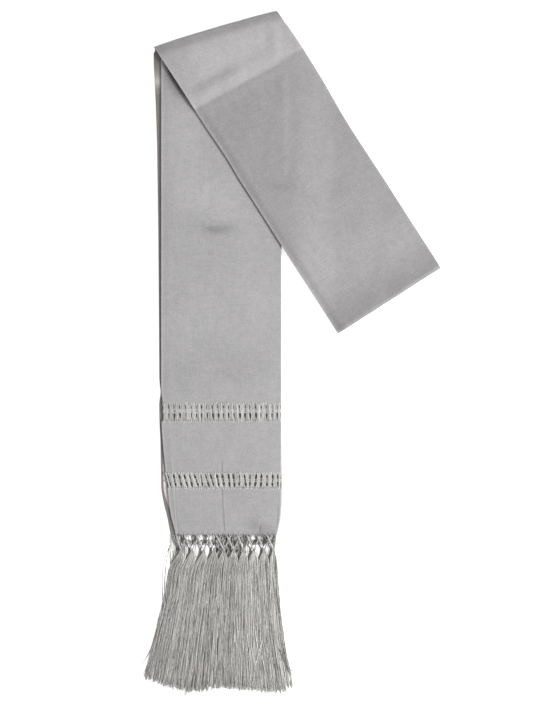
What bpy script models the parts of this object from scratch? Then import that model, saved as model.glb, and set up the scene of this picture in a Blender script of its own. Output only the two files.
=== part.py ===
"""Evening stole of silk satin with knotted fringes, folded and laid flat.

The cloth is folded at the middle of its length. Both halves lie together as a
straight run, and are turned over along a slanting top fold into a turned run,
which crosses the straight one and ends in the fold at mid length. The fringes
of the two ends lie one on the other.

Metres, +Z up. The stole rests on z = 0, +Y points to the top fold, and the
origin is under the middle of its box.
"""

import math
import random
from typing import NamedTuple

import bmesh
import bpy
from mathutils import Vector

MM = 0.001

# Cloth walls, and the clearance that separate pieces keep
FACE_THICKNESS = 1.6 * MM
UNDER_THICKNESS = 2.2 * MM
CLEARANCE = 0.3 * MM

# Straight run: its width as laid, the middle of its hem, and the hem's rounding
STOLE_WIDTH = 120.3 * MM
HEM_MIDDLE = Vector((-69.6 * MM, -183.0 * MM, 0.0))
HEM_ROUNDING = 0.5 * MM

# Turned run: its direction from +X towards -Y, its length, and the middle of the top fold
TURN_ANGLE = math.radians(57.3)
TURNED_LENGTH = 322.8 * MM
FOLD_MIDDLE = Vector((-75.7 * MM, 322.2 * MM, 0.0))
FOLD_LENGTH = 128.2 * MM
FOLD_BOW = 1.2 * MM
UNDER_INSET = 0.8 * MM
SQUARE_FROM = 95.0 * MM

# A strip folded flat turns by twice the angle of its fold line
FOLD_ANGLE = (math.radians(90.0) - TURN_ANGLE) / 2
FOLD_SLOPE = math.tan(FOLD_ANGLE)

# Heights of the four layers where the turned run crosses the straight one
FACE_BOTTOM = UNDER_THICKNESS + CLEARANCE
FACE_TOP = FACE_BOTTOM + FACE_THICKNESS
RISE = FACE_TOP + CLEARANCE
TURNED_UNDER_TOP = RISE + UNDER_THICKNESS
TURNED_BOTTOM = TURNED_UNDER_TOP + CLEARANCE
TURNED_TOP = TURNED_BOTTOM + FACE_THICKNESS

# The turned run bridges past the straight one's side, and then comes down to the floor
BRIDGE_LENGTH = 11.0 * MM
FALL_START = HEM_MIDDLE.x + STOLE_WIDTH / 2 + BRIDGE_LENGTH
FALL_LENGTH = 46.0 * MM

# Places of the columns of points across a run, as shares of its width
STRAIGHT_COLUMNS = (0.03, 0.09, 0.16, 0.28, 0.42, 0.48, 0.54, 0.66, 0.78, 0.90, 0.97)
TURNED_COLUMNS = (0.03, 0.13, 0.24, 0.35, 0.46, 0.57, 0.68, 0.78, 0.88, 0.97)

# Openwork: gaps in each row, their pitch, and the place of a row's first gap
GAPS_IN_ROW = 21
GAP_PITCH = 5.4 * MM
FIRST_GAP = -52.0 * MM
GAP_WIDTH = 2.8 * MM
GAP_SHOULDER = 1 / 6
CUT_MARGIN = 0.6 * MM

# Fringe: how far below the hem its strip, knots and longest locks reach
STRIP_DEPTH = 2.4 * MM
KNOT_DOWN = 14.0 * MM
FRINGE_LENGTH = 157.4 * MM
TASSELS = 10

# Legs of the net, and their places beside the knot. One leg of each pair stops just above it.
LEG_WIDTH = 1.5 * MM
LEG_HEIGHT = 1.2 * MM
LEG_ROOT = 0.38
LEG_BEND = 2.1 * MM
LEG_JOIN = 0.92 * MM
LOOSE_LEG_JOIN = 1.34 * MM
LOOSE_LEG_WIDTH = 1.2 * MM

# Knots: size, and the shares of it at the neck, belly and foot
KNOT_LENGTH = 4.0 * MM
KNOT_WIDTH = 4.4 * MM
KNOT_HEIGHT = 2.0 * MM
KNOT_SHOULDER = 0.8 * MM
KNOT_NECK = 0.86
KNOT_BELLY = 0.6
KNOT_FOOT = 0.9

# Locks: the parts of their length that get a slice, and how they spread, sway and end
LOCK_PARTS = (0.06, 0.3, 0.66, 1.0)
LOCK_HEIGHT = 0.7 * MM
LOCK_FILL = 0.66
LOCK_WIGGLE = 0.10
LOCK_TIP = 0.5
UPPER_OFFSET = 0.25
LOWER_OFFSET = 0.75
PLANE_SPACING = 1.0 * MM
SPREAD_LENGTH = 24.0 * MM
LENGTH_JITTER = 7.0 * MM
LEFT_SHORTENING = 14.0 * MM
FRINGE_SEED = 7

SAME_PLACE = 0.03 * MM
SHARP_ANGLE = math.radians(40.0)

# Colour and roughness of the satin and of the fringes
STRAIGHT_COLOUR = (0.43, 0.43, 0.44)
TURNED_COLOUR = (0.40, 0.40, 0.41)
UNDER_COLOUR = (0.30, 0.29, 0.28)
SATIN_ROUGHNESS = 0.38
UNDER_ROUGHNESS = 0.45
FRINGE_ROUGHNESS = 0.5


class EdgePoint(NamedTuple):
    """A point of a cloth edge: its inset in millimetres, and its place from inner (0) to outer (1) side."""

    inset: float
    through: float


# A face wall's edge is half round. The edge of the hidden layers has a groove between two layers.
FACE_EDGE = (
    EdgePoint(0.8, 1.0),
    EdgePoint(0.2, 0.82),
    EdgePoint(0.0, 0.5),
    EdgePoint(0.2, 0.18),
    EdgePoint(0.8, 0.0),
)
UNDER_EDGE = (
    EdgePoint(0.9, 0.92),
    EdgePoint(0.1, 0.7),
    EdgePoint(0.9, 0.5),
    EdgePoint(0.1, 0.3),
    EdgePoint(0.8, 0.0),
)


class StraightRow(NamedTuple):
    """Sides of the straight run's two layers, in millimetres from its middle line."""

    above_hem: float
    face_left: float
    face_right: float
    under_left: float
    under_right: float


STRAIGHT_ROWS = (
    StraightRow(0.0, -45.6, 55.4, -50.4, 55.9),
    StraightRow(6.5, -46.9, 57.0, -51.9, 57.4),
    StraightRow(17.0, -50.0, 59.2, -53.8, 59.7),
    StraightRow(31.0, -52.2, 60.1, -57.4, 60.7),
    StraightRow(45.5, -53.7, 60.1, -60.0, 60.7),
    StraightRow(61.0, -55.6, 60.1, -60.2, 60.6),
    StraightRow(80.0, -57.4, 60.1, -60.6, 60.5),
    StraightRow(96.0, -58.8, 60.1, -60.9, 60.4),
    StraightRow(112.0, -59.8, 60.1, -61.8, 60.3),
    StraightRow(132.0, -58.3, 60.1, -62.1, 60.2),
    StraightRow(142.0, -60.0, 60.1, -60.4, 60.2),
    StraightRow(153.0, -60.1, 60.1, -61.9, 60.2),
    StraightRow(230.0, -60.1, 60.1, -62.4, 60.2),
    StraightRow(304.0, -60.1, 60.1, -63.0, 60.2),
    StraightRow(325.0, -60.1, 60.1, -63.2, 60.2),
    StraightRow(395.0, -60.1, 60.1, -64.2, 60.2),
    StraightRow(440.0, -60.1, 60.1, -65.6, 59.6),
)


class TurnedRow(NamedTuple):
    """Sides of the turned run, in millimetres from its middle line."""

    from_fold: float
    left: float
    right: float


TURNED_ROWS = (
    TurnedRow(28.0, -61.3, 62.2),
    TurnedRow(42.0, -61.2, 62.6),
    TurnedRow(56.0, -61.2, 62.8),
    TurnedRow(72.0, -61.3, 62.8),
    TurnedRow(88.0, -61.0, 62.8),
    TurnedRow(104.0, -60.6, 62.6),
    TurnedRow(118.0, -60.5, 61.8),
    TurnedRow(132.0, -60.9, 61.0),
    TurnedRow(146.0, -61.3, 60.5),
    TurnedRow(160.0, -61.3, 60.3),
    TurnedRow(175.0, -61.3, 60.4),
    TurnedRow(190.0, -61.3, 60.6),
    TurnedRow(205.0, -61.4, 60.8),
    TurnedRow(220.0, -61.5, 60.9),
    TurnedRow(236.0, -61.5, 60.9),
    TurnedRow(262.0, -61.3, 60.8),
    TurnedRow(290.0, -61.1, 60.9),
)


class FoldRow(NamedTuple):
    """A section of the cloth round a fold, in millimetres: how far inside the fold, and how high.

    The last value turns the row from the straight run's direction (0) to the turned run's (1).
    """

    outer_in: float
    outer_z: float
    inner_in: float
    inner_z: float
    turn: float


# Top fold of the hidden layers, from the straight run's bottom round to the turned run's top
UNDER_TOP_FOLD = (
    FoldRow(14.0, 0.0, 14.0, 2.2, 0.0),
    FoldRow(2.0, 0.0, 9.0, 2.2, 0.0),
    FoldRow(0.8, 0.4, 7.2, 2.25, 0.0),
    FoldRow(0.4, 1.2, 6.6, 2.4, 0.1),
    FoldRow(0.9, 2.0, 6.2, 2.6, 0.2),
    FoldRow(2.4, 2.2, 5.9, 2.9, 0.3),
    FoldRow(2.4, 4.2, 5.8, 3.4, 0.5),
    FoldRow(3.1, 5.5, 6.1, 3.9, 0.8),
    FoldRow(4.8, 6.2, 6.8, 4.25, 1.0),
    FoldRow(8.0, 6.5, 8.4, 4.4, 1.0),
    FoldRow(14.0, 6.6, 14.0, 4.4, 1.0),
)

# Top fold of the turned run's face, which stands on the hidden layers' rim
FACE_TOP_FOLD = (
    FoldRow(0.3, 2.5, 1.95, 2.5, 0.4),
    FoldRow(0.0, 3.4, 1.75, 3.4, 0.4),
    FoldRow(0.0, 4.2, 1.7, 4.2, 0.5),
    FoldRow(0.5, 5.8, 2.0, 5.2, 0.7),
    FoldRow(2.0, 7.2, 3.0, 6.05, 1.0),
    FoldRow(4.6, 8.1, 5.0, 6.7, 1.0),
    FoldRow(8.5, 8.5, 8.5, 6.9, 1.0),
    FoldRow(14.0, 8.5, 14.0, 6.9, 1.0),
)

# End fold, where the stole is folded at mid length. Heights are those over the straight run.
FACE_END_FOLD = (
    FoldRow(9.0, 8.5, 9.0, 6.9, 1.0),
    FoldRow(5.0, 8.45, 5.0, 6.9, 1.0),
    FoldRow(2.6, 8.1, 3.4, 6.85, 1.0),
    FoldRow(0.9, 7.4, 2.4, 6.55, 1.0),
    FoldRow(0.1, 6.4, 1.9, 6.0, 1.0),
    FoldRow(0.1, 5.4, 1.8, 5.3, 1.0),
    FoldRow(0.5, 4.4, 1.9, 4.4, 1.0),
)
UNDER_END_FOLD = (
    FoldRow(9.0, 6.6, 9.0, 4.4, 1.0),
    FoldRow(5.0, 6.55, 5.0, 4.4, 1.0),
    FoldRow(3.7, 6.3, 3.7, 4.4, 1.0),
    FoldRow(2.7, 5.9, 2.7, 4.4, 1.0),
    FoldRow(2.3, 5.3, 2.3, 4.4, 1.0),
)

# The face of the straight run ends inside the top fold, where its last length follows the fold line
FACE_STOP = 8.8 * MM
LAST_LENGTH = 20.0 * MM
SLANT_START = 0.6


class Crease(NamedTuple):
    """A soft trough (depth over 0) or ridge (under 0) in a face, from end to end, in millimetres."""

    start_x: float
    start_y: float
    end_x: float
    end_y: float
    depth: float
    reach: float


STRAIGHT_CREASES = (
    Crease(-69.0, -106.0, -63.5, -186.0, 0.45, 6.0),
    Crease(-118.5, -100.0, -112.0, -186.0, 0.40, 6.0),
    Crease(-30.5, -172.0, -31.5, -186.0, 0.35, 5.0),
    Crease(-92.0, 122.0, -56.0, 127.0, 0.40, 9.0),
    Crease(-104.0, -30.0, -40.0, -26.0, 0.25, 12.0),
    Crease(-118.0, 60.0, -30.0, 48.0, -0.25, 16.0),
)
TURNED_CREASES = (
    Crease(-100.0, 253.0, -33.0, 294.0, 0.40, 9.0),
    Crease(-88.0, 248.0, -14.0, 289.0, -0.35, 9.0),
    Crease(-15.0, 322.0, -14.0, 286.0, -0.30, 8.0),
    Crease(-8.0, 282.0, -6.0, 176.0, -0.30, 8.0),
    Crease(-32.0, 168.0, 8.0, 165.0, 0.40, 10.0),
    Crease(60.0, 100.0, 112.0, 132.0, 0.25, 14.0),
)


class GapRow(NamedTuple):
    """A row of openwork gaps, in millimetres: its middle above the hem, a gap's length and its lean."""

    above_hem: float
    length: float
    lean: float


GAP_ROWS = (
    GapRow(127.5, 6.2, 0.0),
    GapRow(117.0, 7.0, 0.0),
    GapRow(57.0, 5.4, -0.8),
    GapRow(50.2, 6.4, -0.8),
)


class SpreadRow(NamedTuple):
    """How a fringe spreads below the hem: the x of its first and last lock, in millimetres."""

    down: float
    left: float
    right: float


FRONT_SPREAD = (
    SpreadRow(14.0, -115.0, -15.0),
    SpreadRow(37.0, -119.2, -13.7),
    SpreadRow(60.0, -123.4, -12.2),
    SpreadRow(105.0, -133.2, -7.0),
    SpreadRow(158.0, -147.3, 3.6),
)
BACK_SPREAD = (
    SpreadRow(14.0, -118.5, -17.0),
    SpreadRow(37.0, -122.5, -16.0),
    SpreadRow(60.0, -126.5, -15.0),
    SpreadRow(105.0, -137.5, -11.5),
    SpreadRow(158.0, -151.5, -4.0),
)


class FringePlan(NamedTuple):
    """What sets one fringe apart from the other."""

    name: str
    strip_left: float
    strip_right: float
    strip_height: float
    knot_height: float
    low_plane: float
    quads_in_knot: int
    spread: tuple
    colour: tuple


FRINGES = (
    FringePlan("back_fringe", -50.2, 52.2, 1.2, 1.3, 0.75, 4, BACK_SPREAD, (0.33, 0.31, 0.29)),
    FringePlan("front_fringe", -45.2, 55.0, 3.3, 3.65, 2.8, 5, FRONT_SPREAD, (0.38, 0.36, 0.34)),
)


class Run(NamedTuple):
    """A stretch of the stole with its own directions, and which way its top fold lies."""

    origin: Vector
    axis: Vector
    across: Vector
    fold_along: float
    towards_fold: float

    def at(self, along, side, z):
        """Point at a distance along the run and to the side of its middle line."""
        return self.origin + self.axis * along + self.across * side + Vector((0.0, 0.0, z))


FOLD_DIRECTION = Vector((math.cos(FOLD_ANGLE), math.sin(FOLD_ANGLE), 0.0))
TURNED_AXIS = Vector((math.cos(TURN_ANGLE), -math.sin(TURN_ANGLE), 0.0))
FOLD_OVER_HEM = FOLD_MIDDLE.y - HEM_MIDDLE.y + (HEM_MIDDLE.x - FOLD_MIDDLE.x) * FOLD_SLOPE
STRAIGHT = Run(HEM_MIDDLE, Vector((0.0, 1.0, 0.0)), Vector((1.0, 0.0, 0.0)), FOLD_OVER_HEM, 1.0)
TURNED = Run(FOLD_MIDDLE, TURNED_AXIS, Vector((-TURNED_AXIS.y, TURNED_AXIS.x, 0.0)), 0.0, -1.0)


class Station(NamedTuple):
    """One section of a cloth wall: the ends of its outer and inner sides, and the bow of both."""

    outer_left: Vector
    outer_right: Vector
    inner_left: Vector
    inner_right: Vector
    bow: Vector


def smooth(share):
    """Ease from 0 to 1 with level ends."""
    share = min(max(share, 0.0), 1.0)
    return share * share * (3.0 - 2.0 * share)


def settled(point):
    """Lower a point of the turned run where it comes down beside the straight run."""
    fall = RISE * smooth((point.x - FALL_START) / FALL_LENGTH)
    share = smooth((point.z - FACE_BOTTOM) / (RISE - FACE_BOTTOM))
    return Vector((point.x, point.y, point.z - fall * share))


def crease_depth(creases, point):
    """Depth of the creases at a point of a face, deepest on each crease's line and fading to its ends."""
    total = 0.0
    for crease in creases:
        start = Vector((crease.start_x, crease.start_y)) * MM
        run = Vector((crease.end_x, crease.end_y)) * MM - start
        away = Vector((point.x, point.y)) - start
        share = min(max(away.dot(run) / run.length_squared, 0.0), 1.0)
        distance = (away - run * share).length
        total += crease.depth * MM * (1.0 - smooth(distance / (crease.reach * MM)))
    return total


def section(station, columns, edge, creases, inset=0.0):
    """Ring of points round a wall: its outer side, right edge, inner side and left edge."""
    width = (station.outer_right - station.outer_left).length
    insets = [(point.inset * MM + inset) / width for point in edge]

    def place(share, through):
        outer = station.outer_left.lerp(station.outer_right, share)
        inner = station.inner_left.lerp(station.inner_right, share)
        return inner.lerp(outer, through) + station.bow * (4.0 * share * (1.0 - share))

    ring = [place(share, 1.0) for share in columns]
    ring = [point - Vector((0.0, 0.0, crease_depth(creases, point))) for point in ring]
    ring += [place(1.0 - share, point.through) for share, point in zip(insets, edge)]
    ring += [place(share, 0.0) for share in reversed(columns)]
    ring += [place(share, point.through) for share, point in zip(reversed(insets), reversed(edge))]
    return [settled(point) for point in ring]


def loft(mesh, rings, outer_points=0):
    """Close a row of rings into one body, and return the faces between the rings, a list for each pair.

    With outer_points, each quad is split: one way on that many points and the other way on the rest, so
    that the two sides of a wall have the same facets.
    """
    made = [[mesh.verts.new(point) for point in ring] for ring in rings]
    walls = []
    for before, after in zip(made, made[1:]):
        wall = []
        for here in range(len(before)):
            there = (here + 1) % len(before)
            corners = (before[here], before[there], after[there], after[here])
            if not outer_points:
                wall.append(mesh.faces.new(corners))
                continue
            turn = 0 if here < outer_points else 1
            corners = corners[turn:] + corners[:turn]
            mesh.faces.new((corners[0], corners[1], corners[2]))
            mesh.faces.new((corners[0], corners[2], corners[3]))
        walls.append(wall)
    mesh.faces.new(list(reversed(made[0])))
    mesh.faces.new(made[-1])
    bmesh.ops.recalc_face_normals(mesh, faces=mesh.faces[:])
    return walls


def cloth_material(name, colour, roughness):
    """Plain cloth colour for one piece."""
    material = bpy.data.materials.new(name)
    material.use_nodes = True
    shader = material.node_tree.nodes["Principled BSDF"]
    shader.inputs["Base Color"].default_value = (*colour, 1.0)
    shader.inputs["Roughness"].default_value = roughness
    shader.inputs["Metallic"].default_value = 0.0
    return material


def finished_object(name, mesh, collection, material=None):
    """Turn a bmesh into a named object of a collection."""
    data = bpy.data.meshes.new(name)
    mesh.to_mesh(data)
    mesh.free()
    made = bpy.data.objects.new(name, data)
    collection.objects.link(made)
    if material:
        data.materials.append(material)
        data.shade_smooth()
        data.set_sharp_from_angle(angle=SHARP_ANGLE)
    return made


def run_station(run, along, left, right, outer_z, inner_z, slant):
    """Station across a run. A slant of 1 lays it along the top fold, and 0 square to the run."""

    def corner(side, z):
        return run.at(along + slant * FOLD_SLOPE * side, side, z)

    outer_left = corner(left, outer_z)
    outer_right = corner(right, outer_z)
    inner_left = corner(left, inner_z)
    inner_right = corner(right, inner_z)
    bow = run.axis * (run.towards_fold * FOLD_BOW * slant)
    return Station(outer_left, outer_right, inner_left, inner_right, bow)


def straight_slant(above_hem):
    """How far a row of the straight run leans towards the top fold's direction, from 0 near the hem."""
    return smooth(above_hem / STRAIGHT_ROWS[-1].above_hem - SLANT_START)


def top_fold_station(row):
    """Station round the top fold: it follows the fold line, inside it by the row's distances."""
    half = FOLD_DIRECTION * (FOLD_LENGTH / 2)
    inward = (STRAIGHT.axis * -(1.0 - row.turn) + TURNED.axis * row.turn) / math.cos(FOLD_ANGLE)
    outer = FOLD_MIDDLE + inward * (row.outer_in * MM) + Vector((0.0, 0.0, row.outer_z * MM))
    inner = FOLD_MIDDLE + inward * (row.inner_in * MM) + Vector((0.0, 0.0, row.inner_z * MM))
    bow = Vector((-FOLD_DIRECTION.y, FOLD_DIRECTION.x, 0.0)) * FOLD_BOW
    return Station(outer - half, outer + half, inner - half, inner + half, bow)


def end_fold_station(row):
    """Station round the end fold of the turned run, square to the run."""
    left = TURNED_ROWS[-1].left * MM
    right = TURNED_ROWS[-1].right * MM
    outer = TURNED_LENGTH - row.outer_in * MM
    inner = TURNED_LENGTH - row.inner_in * MM
    return Station(
        TURNED.at(outer, left, row.outer_z * MM),
        TURNED.at(outer, right, row.outer_z * MM),
        TURNED.at(inner, left, row.inner_z * MM),
        TURNED.at(inner, right, row.inner_z * MM),
        Vector(),
    )


def turned_stations(outer_z, inner_z):
    """Stations of the turned run between its two folds."""
    stations = []
    for row in TURNED_ROWS:
        along = row.from_fold * MM
        slant = 1.0 - smooth(along / SQUARE_FROM)
        stations.append(run_station(TURNED, along, row.left * MM, row.right * MM, outer_z, inner_z, slant))
    return stations


def make_wall(name, rings, columns, collection, material):
    """One object from the rings of a cloth wall."""
    mesh = bmesh.new()
    loft(mesh, rings, outer_points=len(columns))
    return finished_object(name, mesh, collection, material)


def gap_cutter(collection):
    """One object holding the pointed prisms that cut the openwork gaps."""
    mesh = bmesh.new()
    low = FACE_BOTTOM - CUT_MARGIN
    high = FACE_TOP + CUT_MARGIN
    for row in GAP_ROWS:
        for index in range(GAPS_IN_ROW):
            side = FIRST_GAP + index * GAP_PITCH
            lean = row.lean * MM * (1.0 - index / (GAPS_IN_ROW - 1))
            shoulder = row.length * GAP_SHOULDER
            shift = lean * GAP_SHOULDER * 2
            outline = [
                (lean, row.length / 2),
                (GAP_WIDTH / 2 + shift, shoulder),
                (GAP_WIDTH / 2 - shift, -shoulder),
                (-lean, -row.length / 2),
                (-GAP_WIDTH / 2 - shift, -shoulder),
                (-GAP_WIDTH / 2 + shift, shoulder),
            ]
            rings = [
                [STRAIGHT.at((row.above_hem + up) * MM, side + out, z) for out, up in outline]
                for z in (low, high)
            ]
            loft(mesh, rings)
    cutter = finished_object("openwork_cutter", mesh, collection)
    cutter.hide_render = True
    cutter.display_type = "WIRE"
    return cutter


def make_straight_run(collection, helpers):
    """Face of the straight run, with its creases, gathered hem and openwork."""
    first = STRAIGHT_ROWS[0]
    stations = [
        run_station(
            STRAIGHT,
            0.0,
            first.face_left * MM,
            first.face_right * MM,
            FACE_TOP - HEM_ROUNDING,
            FACE_BOTTOM + HEM_ROUNDING / 2,
            0.0,
        )
    ]
    for row in STRAIGHT_ROWS:
        along = max(row.above_hem * MM, HEM_ROUNDING)
        left = row.face_left * MM
        right = row.face_right * MM
        slant = straight_slant(row.above_hem)
        stations.append(run_station(STRAIGHT, along, left, right, FACE_TOP, FACE_BOTTOM, slant))
    stop = FOLD_OVER_HEM - FACE_STOP / math.cos(FOLD_ANGLE)
    for along in (stop - LAST_LENGTH, stop):
        stations.append(run_station(STRAIGHT, along, left, right, FACE_TOP, FACE_BOTTOM, 1.0))
    rings = [section(station, STRAIGHT_COLUMNS, FACE_EDGE, STRAIGHT_CREASES) for station in stations]
    silk = cloth_material("satin_straight", STRAIGHT_COLOUR, SATIN_ROUGHNESS)
    face = make_wall("straight_run", rings, STRAIGHT_COLUMNS, collection, silk)
    openwork = face.modifiers.new("openwork", "BOOLEAN")
    openwork.operation = "DIFFERENCE"
    openwork.solver = "EXACT"
    openwork.object = gap_cutter(helpers)


def make_turned_run(collection):
    """Face of the turned run, round the top fold and round the end fold."""
    stations = [top_fold_station(row) for row in FACE_TOP_FOLD]
    stations += turned_stations(TURNED_TOP, TURNED_BOTTOM)
    stations += [end_fold_station(row) for row in FACE_END_FOLD]
    rings = [section(station, TURNED_COLUMNS, FACE_EDGE, TURNED_CREASES) for station in stations]
    silk = cloth_material("satin_turned", TURNED_COLOUR, SATIN_ROUGHNESS)
    make_wall("turned_run", rings, TURNED_COLUMNS, collection, silk)


def make_hidden_layers(collection):
    """The layers that the faces hide: under the straight run, round the top fold, under the turned run."""
    stations = []
    for row in STRAIGHT_ROWS:
        stations.append(
            run_station(
                STRAIGHT,
                row.above_hem * MM,
                row.under_left * MM,
                row.under_right * MM,
                0.0,
                UNDER_THICKNESS,
                straight_slant(row.above_hem),
            )
        )
    stations += [top_fold_station(row) for row in UNDER_TOP_FOLD]
    rings = [section(station, TURNED_COLUMNS, UNDER_EDGE, ()) for station in stations]
    stations = turned_stations(TURNED_UNDER_TOP, RISE)
    stations += [end_fold_station(row) for row in UNDER_END_FOLD]
    rings += [section(station, TURNED_COLUMNS, UNDER_EDGE, (), UNDER_INSET) for station in stations]
    silk = cloth_material("satin_under", UNDER_COLOUR, UNDER_ROUGHNESS)
    make_wall("hidden_layers", rings, TURNED_COLUMNS, collection, silk)


class Slice(NamedTuple):
    """Cross-section of a strand, square to +Y: its middle, width and height."""

    x: float
    y: float
    z: float
    width: float
    height: float


def grow(mesh, face, start, slices):
    """Extrude a face through a strand's slices, and return the face at its end."""
    last = start
    for part in slices:
        face = bmesh.ops.extrude_discrete_faces(mesh, faces=[face])["faces"][0]
        for corner in face.verts:
            corner.co = Vector(
                (
                    part.x + (corner.co.x - last.x) * part.width / last.width,
                    part.y,
                    part.z + (corner.co.z - last.z) * part.height / last.height,
                )
            )
        last = part
    return face


def slice_of(face):
    """The slice that a face of the strand's root fills."""
    xs = [corner.co.x for corner in face.verts]
    zs = [corner.co.z for corner in face.verts]
    return Slice(
        (min(xs) + max(xs)) / 2,
        face.verts[0].co.y,
        (min(zs) + max(zs)) / 2,
        max(xs) - min(xs),
        max(zs) - min(zs),
    )


def spread_at(spread, down):
    """Left and right limit of a fringe at a distance below the hem."""
    for above, below in zip(spread, spread[1:]):
        if down <= below.down * MM:
            break
    share = (down / MM - above.down) / (below.down - above.down)
    left = above.left + (below.left - above.left) * share
    right = above.right + (below.right - above.right) * share
    return left * MM, right * MM


def lock_slices(plan, root, rank, count, upper, draws):
    """Slices of one lock, from its knot to its tip. Rank counts the locks of its plane from the left."""
    share = (rank + (UPPER_OFFSET if upper else LOWER_OFFSET)) / count
    shorter = LEFT_SHORTENING * (1.0 - share) ** 4 + LENGTH_JITTER * draws.random() ** 2
    reach = FRINGE_LENGTH - shorter
    start_down = HEM_MIDDLE.y - root.y
    plane = plan.low_plane * MM + (PLANE_SPACING if upper else 0.0)
    slices = []
    for part in LOCK_PARTS:
        down = start_down + (reach - start_down) * part
        left, right = spread_at(plan.spread, down)
        pitch = (right - left) / count
        open_share = smooth((down - start_down) / SPREAD_LENGTH)
        wiggle = LOCK_WIGGLE * pitch * (2.0 * draws.random() - 1.0) * open_share
        even = left + (right - left) * share + wiggle
        width = LOCK_FILL * (root.width * (1.0 - open_share) + pitch * open_share)
        if part == LOCK_PARTS[-1]:
            width *= LOCK_TIP
        slices.append(
            Slice(root.x + (even - root.x) * open_share, HEM_MIDDLE.y - down, plane, width, LOCK_HEIGHT)
        )
    return slices


def make_fringe(plan, collection):
    """A fringe: a strip along the hem, two legs to each knot, and the locks that hang from the knots."""
    draws = random.Random(FRINGE_SEED)
    left = HEM_MIDDLE.x + plan.strip_left * MM
    right = HEM_MIDDLE.x + plan.strip_right * MM
    pitch = (right - left) / TASSELS
    top = HEM_MIDDLE.y - CLEARANCE
    bottom = top - STRIP_DEPTH
    knot_y = HEM_MIDDLE.y - KNOT_DOWN
    strip_z = plan.strip_height * MM
    knot_z = plan.knot_height * MM
    knots = [left + (index + 0.5) * pitch for index in range(TASSELS)]
    roots = [knot + side * LEG_ROOT * pitch for knot in knots for side in (-1.0, 1.0)]
    cuts = [left] + [root + side * LEG_WIDTH / 2 for root in roots for side in (-1.0, 1.0)] + [right]
    low = strip_z - LEG_HEIGHT / 2
    high = strip_z + LEG_HEIGHT / 2
    mesh = bmesh.new()
    walls = loft(mesh, [[(x, top, high), (x, top, low), (x, bottom, low), (x, bottom, high)] for x in cuts])
    leg_roots = [wall[2] for wall in walls[1::2]]
    for index, knot in enumerate(knots):
        left_root, right_root = leg_roots[2 * index], leg_roots[2 * index + 1]
        leg = [
            Slice(knot - LEG_BEND, (bottom + knot_y) / 2, strip_z, LEG_WIDTH, LEG_HEIGHT),
            Slice(knot - LEG_JOIN, knot_y, knot_z, LEG_WIDTH, LEG_HEIGHT),
            Slice(knot, knot_y - KNOT_SHOULDER, knot_z, KNOT_WIDTH * KNOT_NECK, KNOT_HEIGHT * KNOT_NECK),
            Slice(knot, knot_y - KNOT_LENGTH * KNOT_BELLY, knot_z, KNOT_WIDTH, KNOT_HEIGHT),
        ]
        loose_leg = [
            Slice(knot + LEG_BEND, (bottom + knot_y) / 2, strip_z, LEG_WIDTH, LEG_HEIGHT),
            Slice(knot + LOOSE_LEG_JOIN, knot_y + CLEARANCE, knot_z, LOOSE_LEG_WIDTH, LEG_HEIGHT),
        ]
        grow(mesh, right_root, slice_of(right_root), loose_leg)
        widest = grow(mesh, left_root, slice_of(left_root), leg)
        end = grow(
            mesh,
            widest,
            slice_of(widest),
            [Slice(knot, knot_y - KNOT_LENGTH, knot_z, KNOT_WIDTH * KNOT_FOOT, KNOT_HEIGHT * KNOT_FOOT)],
        )
        level = [edge for edge in end.edges if abs(edge.verts[0].co.z - edge.verts[1].co.z) < CLEARANCE]
        cut = bmesh.ops.subdivide_edges(mesh, edges=level, cuts=plan.quads_in_knot - 1, use_grid_fill=True)
        mesh.normal_update()
        floor_y = knot_y - KNOT_LENGTH
        quads = {
            face
            for part in cut["geom_inner"]
            if isinstance(part, bmesh.types.BMVert)
            for face in part.link_faces
            if all(abs(corner.co.y - floor_y) < SAME_PLACE for corner in face.verts)
        }
        halves = bmesh.ops.triangulate(mesh, faces=list(quads))["faces"]
        count = TASSELS * plan.quads_in_knot
        halves = sorted(halves, key=lambda half: half.calc_center_median().x)
        uppers = [half for half in halves if is_upper(half, knot_z)]
        lowers = [half for half in halves if not is_upper(half, knot_z)]
        for upper, group in ((True, uppers), (False, lowers)):
            for order, face in enumerate(group):
                rank = index * plan.quads_in_knot + order
                root = slice_of(face)
                grow(mesh, face, root, lock_slices(plan, root, rank, count, upper, draws))
    silk = cloth_material(plan.name + "_silk", plan.colour, FRINGE_ROUGHNESS)
    finished_object(plan.name, mesh, collection, silk)


def is_upper(face, middle_z):
    """True for a root triangle whose level side is the upper one."""
    return sum(corner.co.z > middle_z for corner in face.verts) == 2


def main():
    """Clear the scene and build the stole."""
    for old in list(bpy.data.objects):
        bpy.data.objects.remove(old)
    stole = bpy.data.collections.new("evening_stole")
    helpers = bpy.data.collections.new("cutters")
    for collection in (stole, helpers):
        bpy.context.scene.collection.children.link(collection)
    make_hidden_layers(stole)
    make_straight_run(stole, helpers)
    make_turned_run(stole)
    for plan in FRINGES:
        make_fringe(plan, stole)


main()
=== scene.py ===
"""Looks of the evening stole: satin doubled lengthwise, drawn-thread openwork and knotted fringes.

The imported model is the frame. Each soft solid is replaced by a finer piece on its own form. Sizes are in
millimetres and become metres where a mesh is made. +Y points to the top fold, and +X to the side that the
turned run leans to.
"""

import logging
import math
from dataclasses import dataclass, field
from enum import Enum

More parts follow.
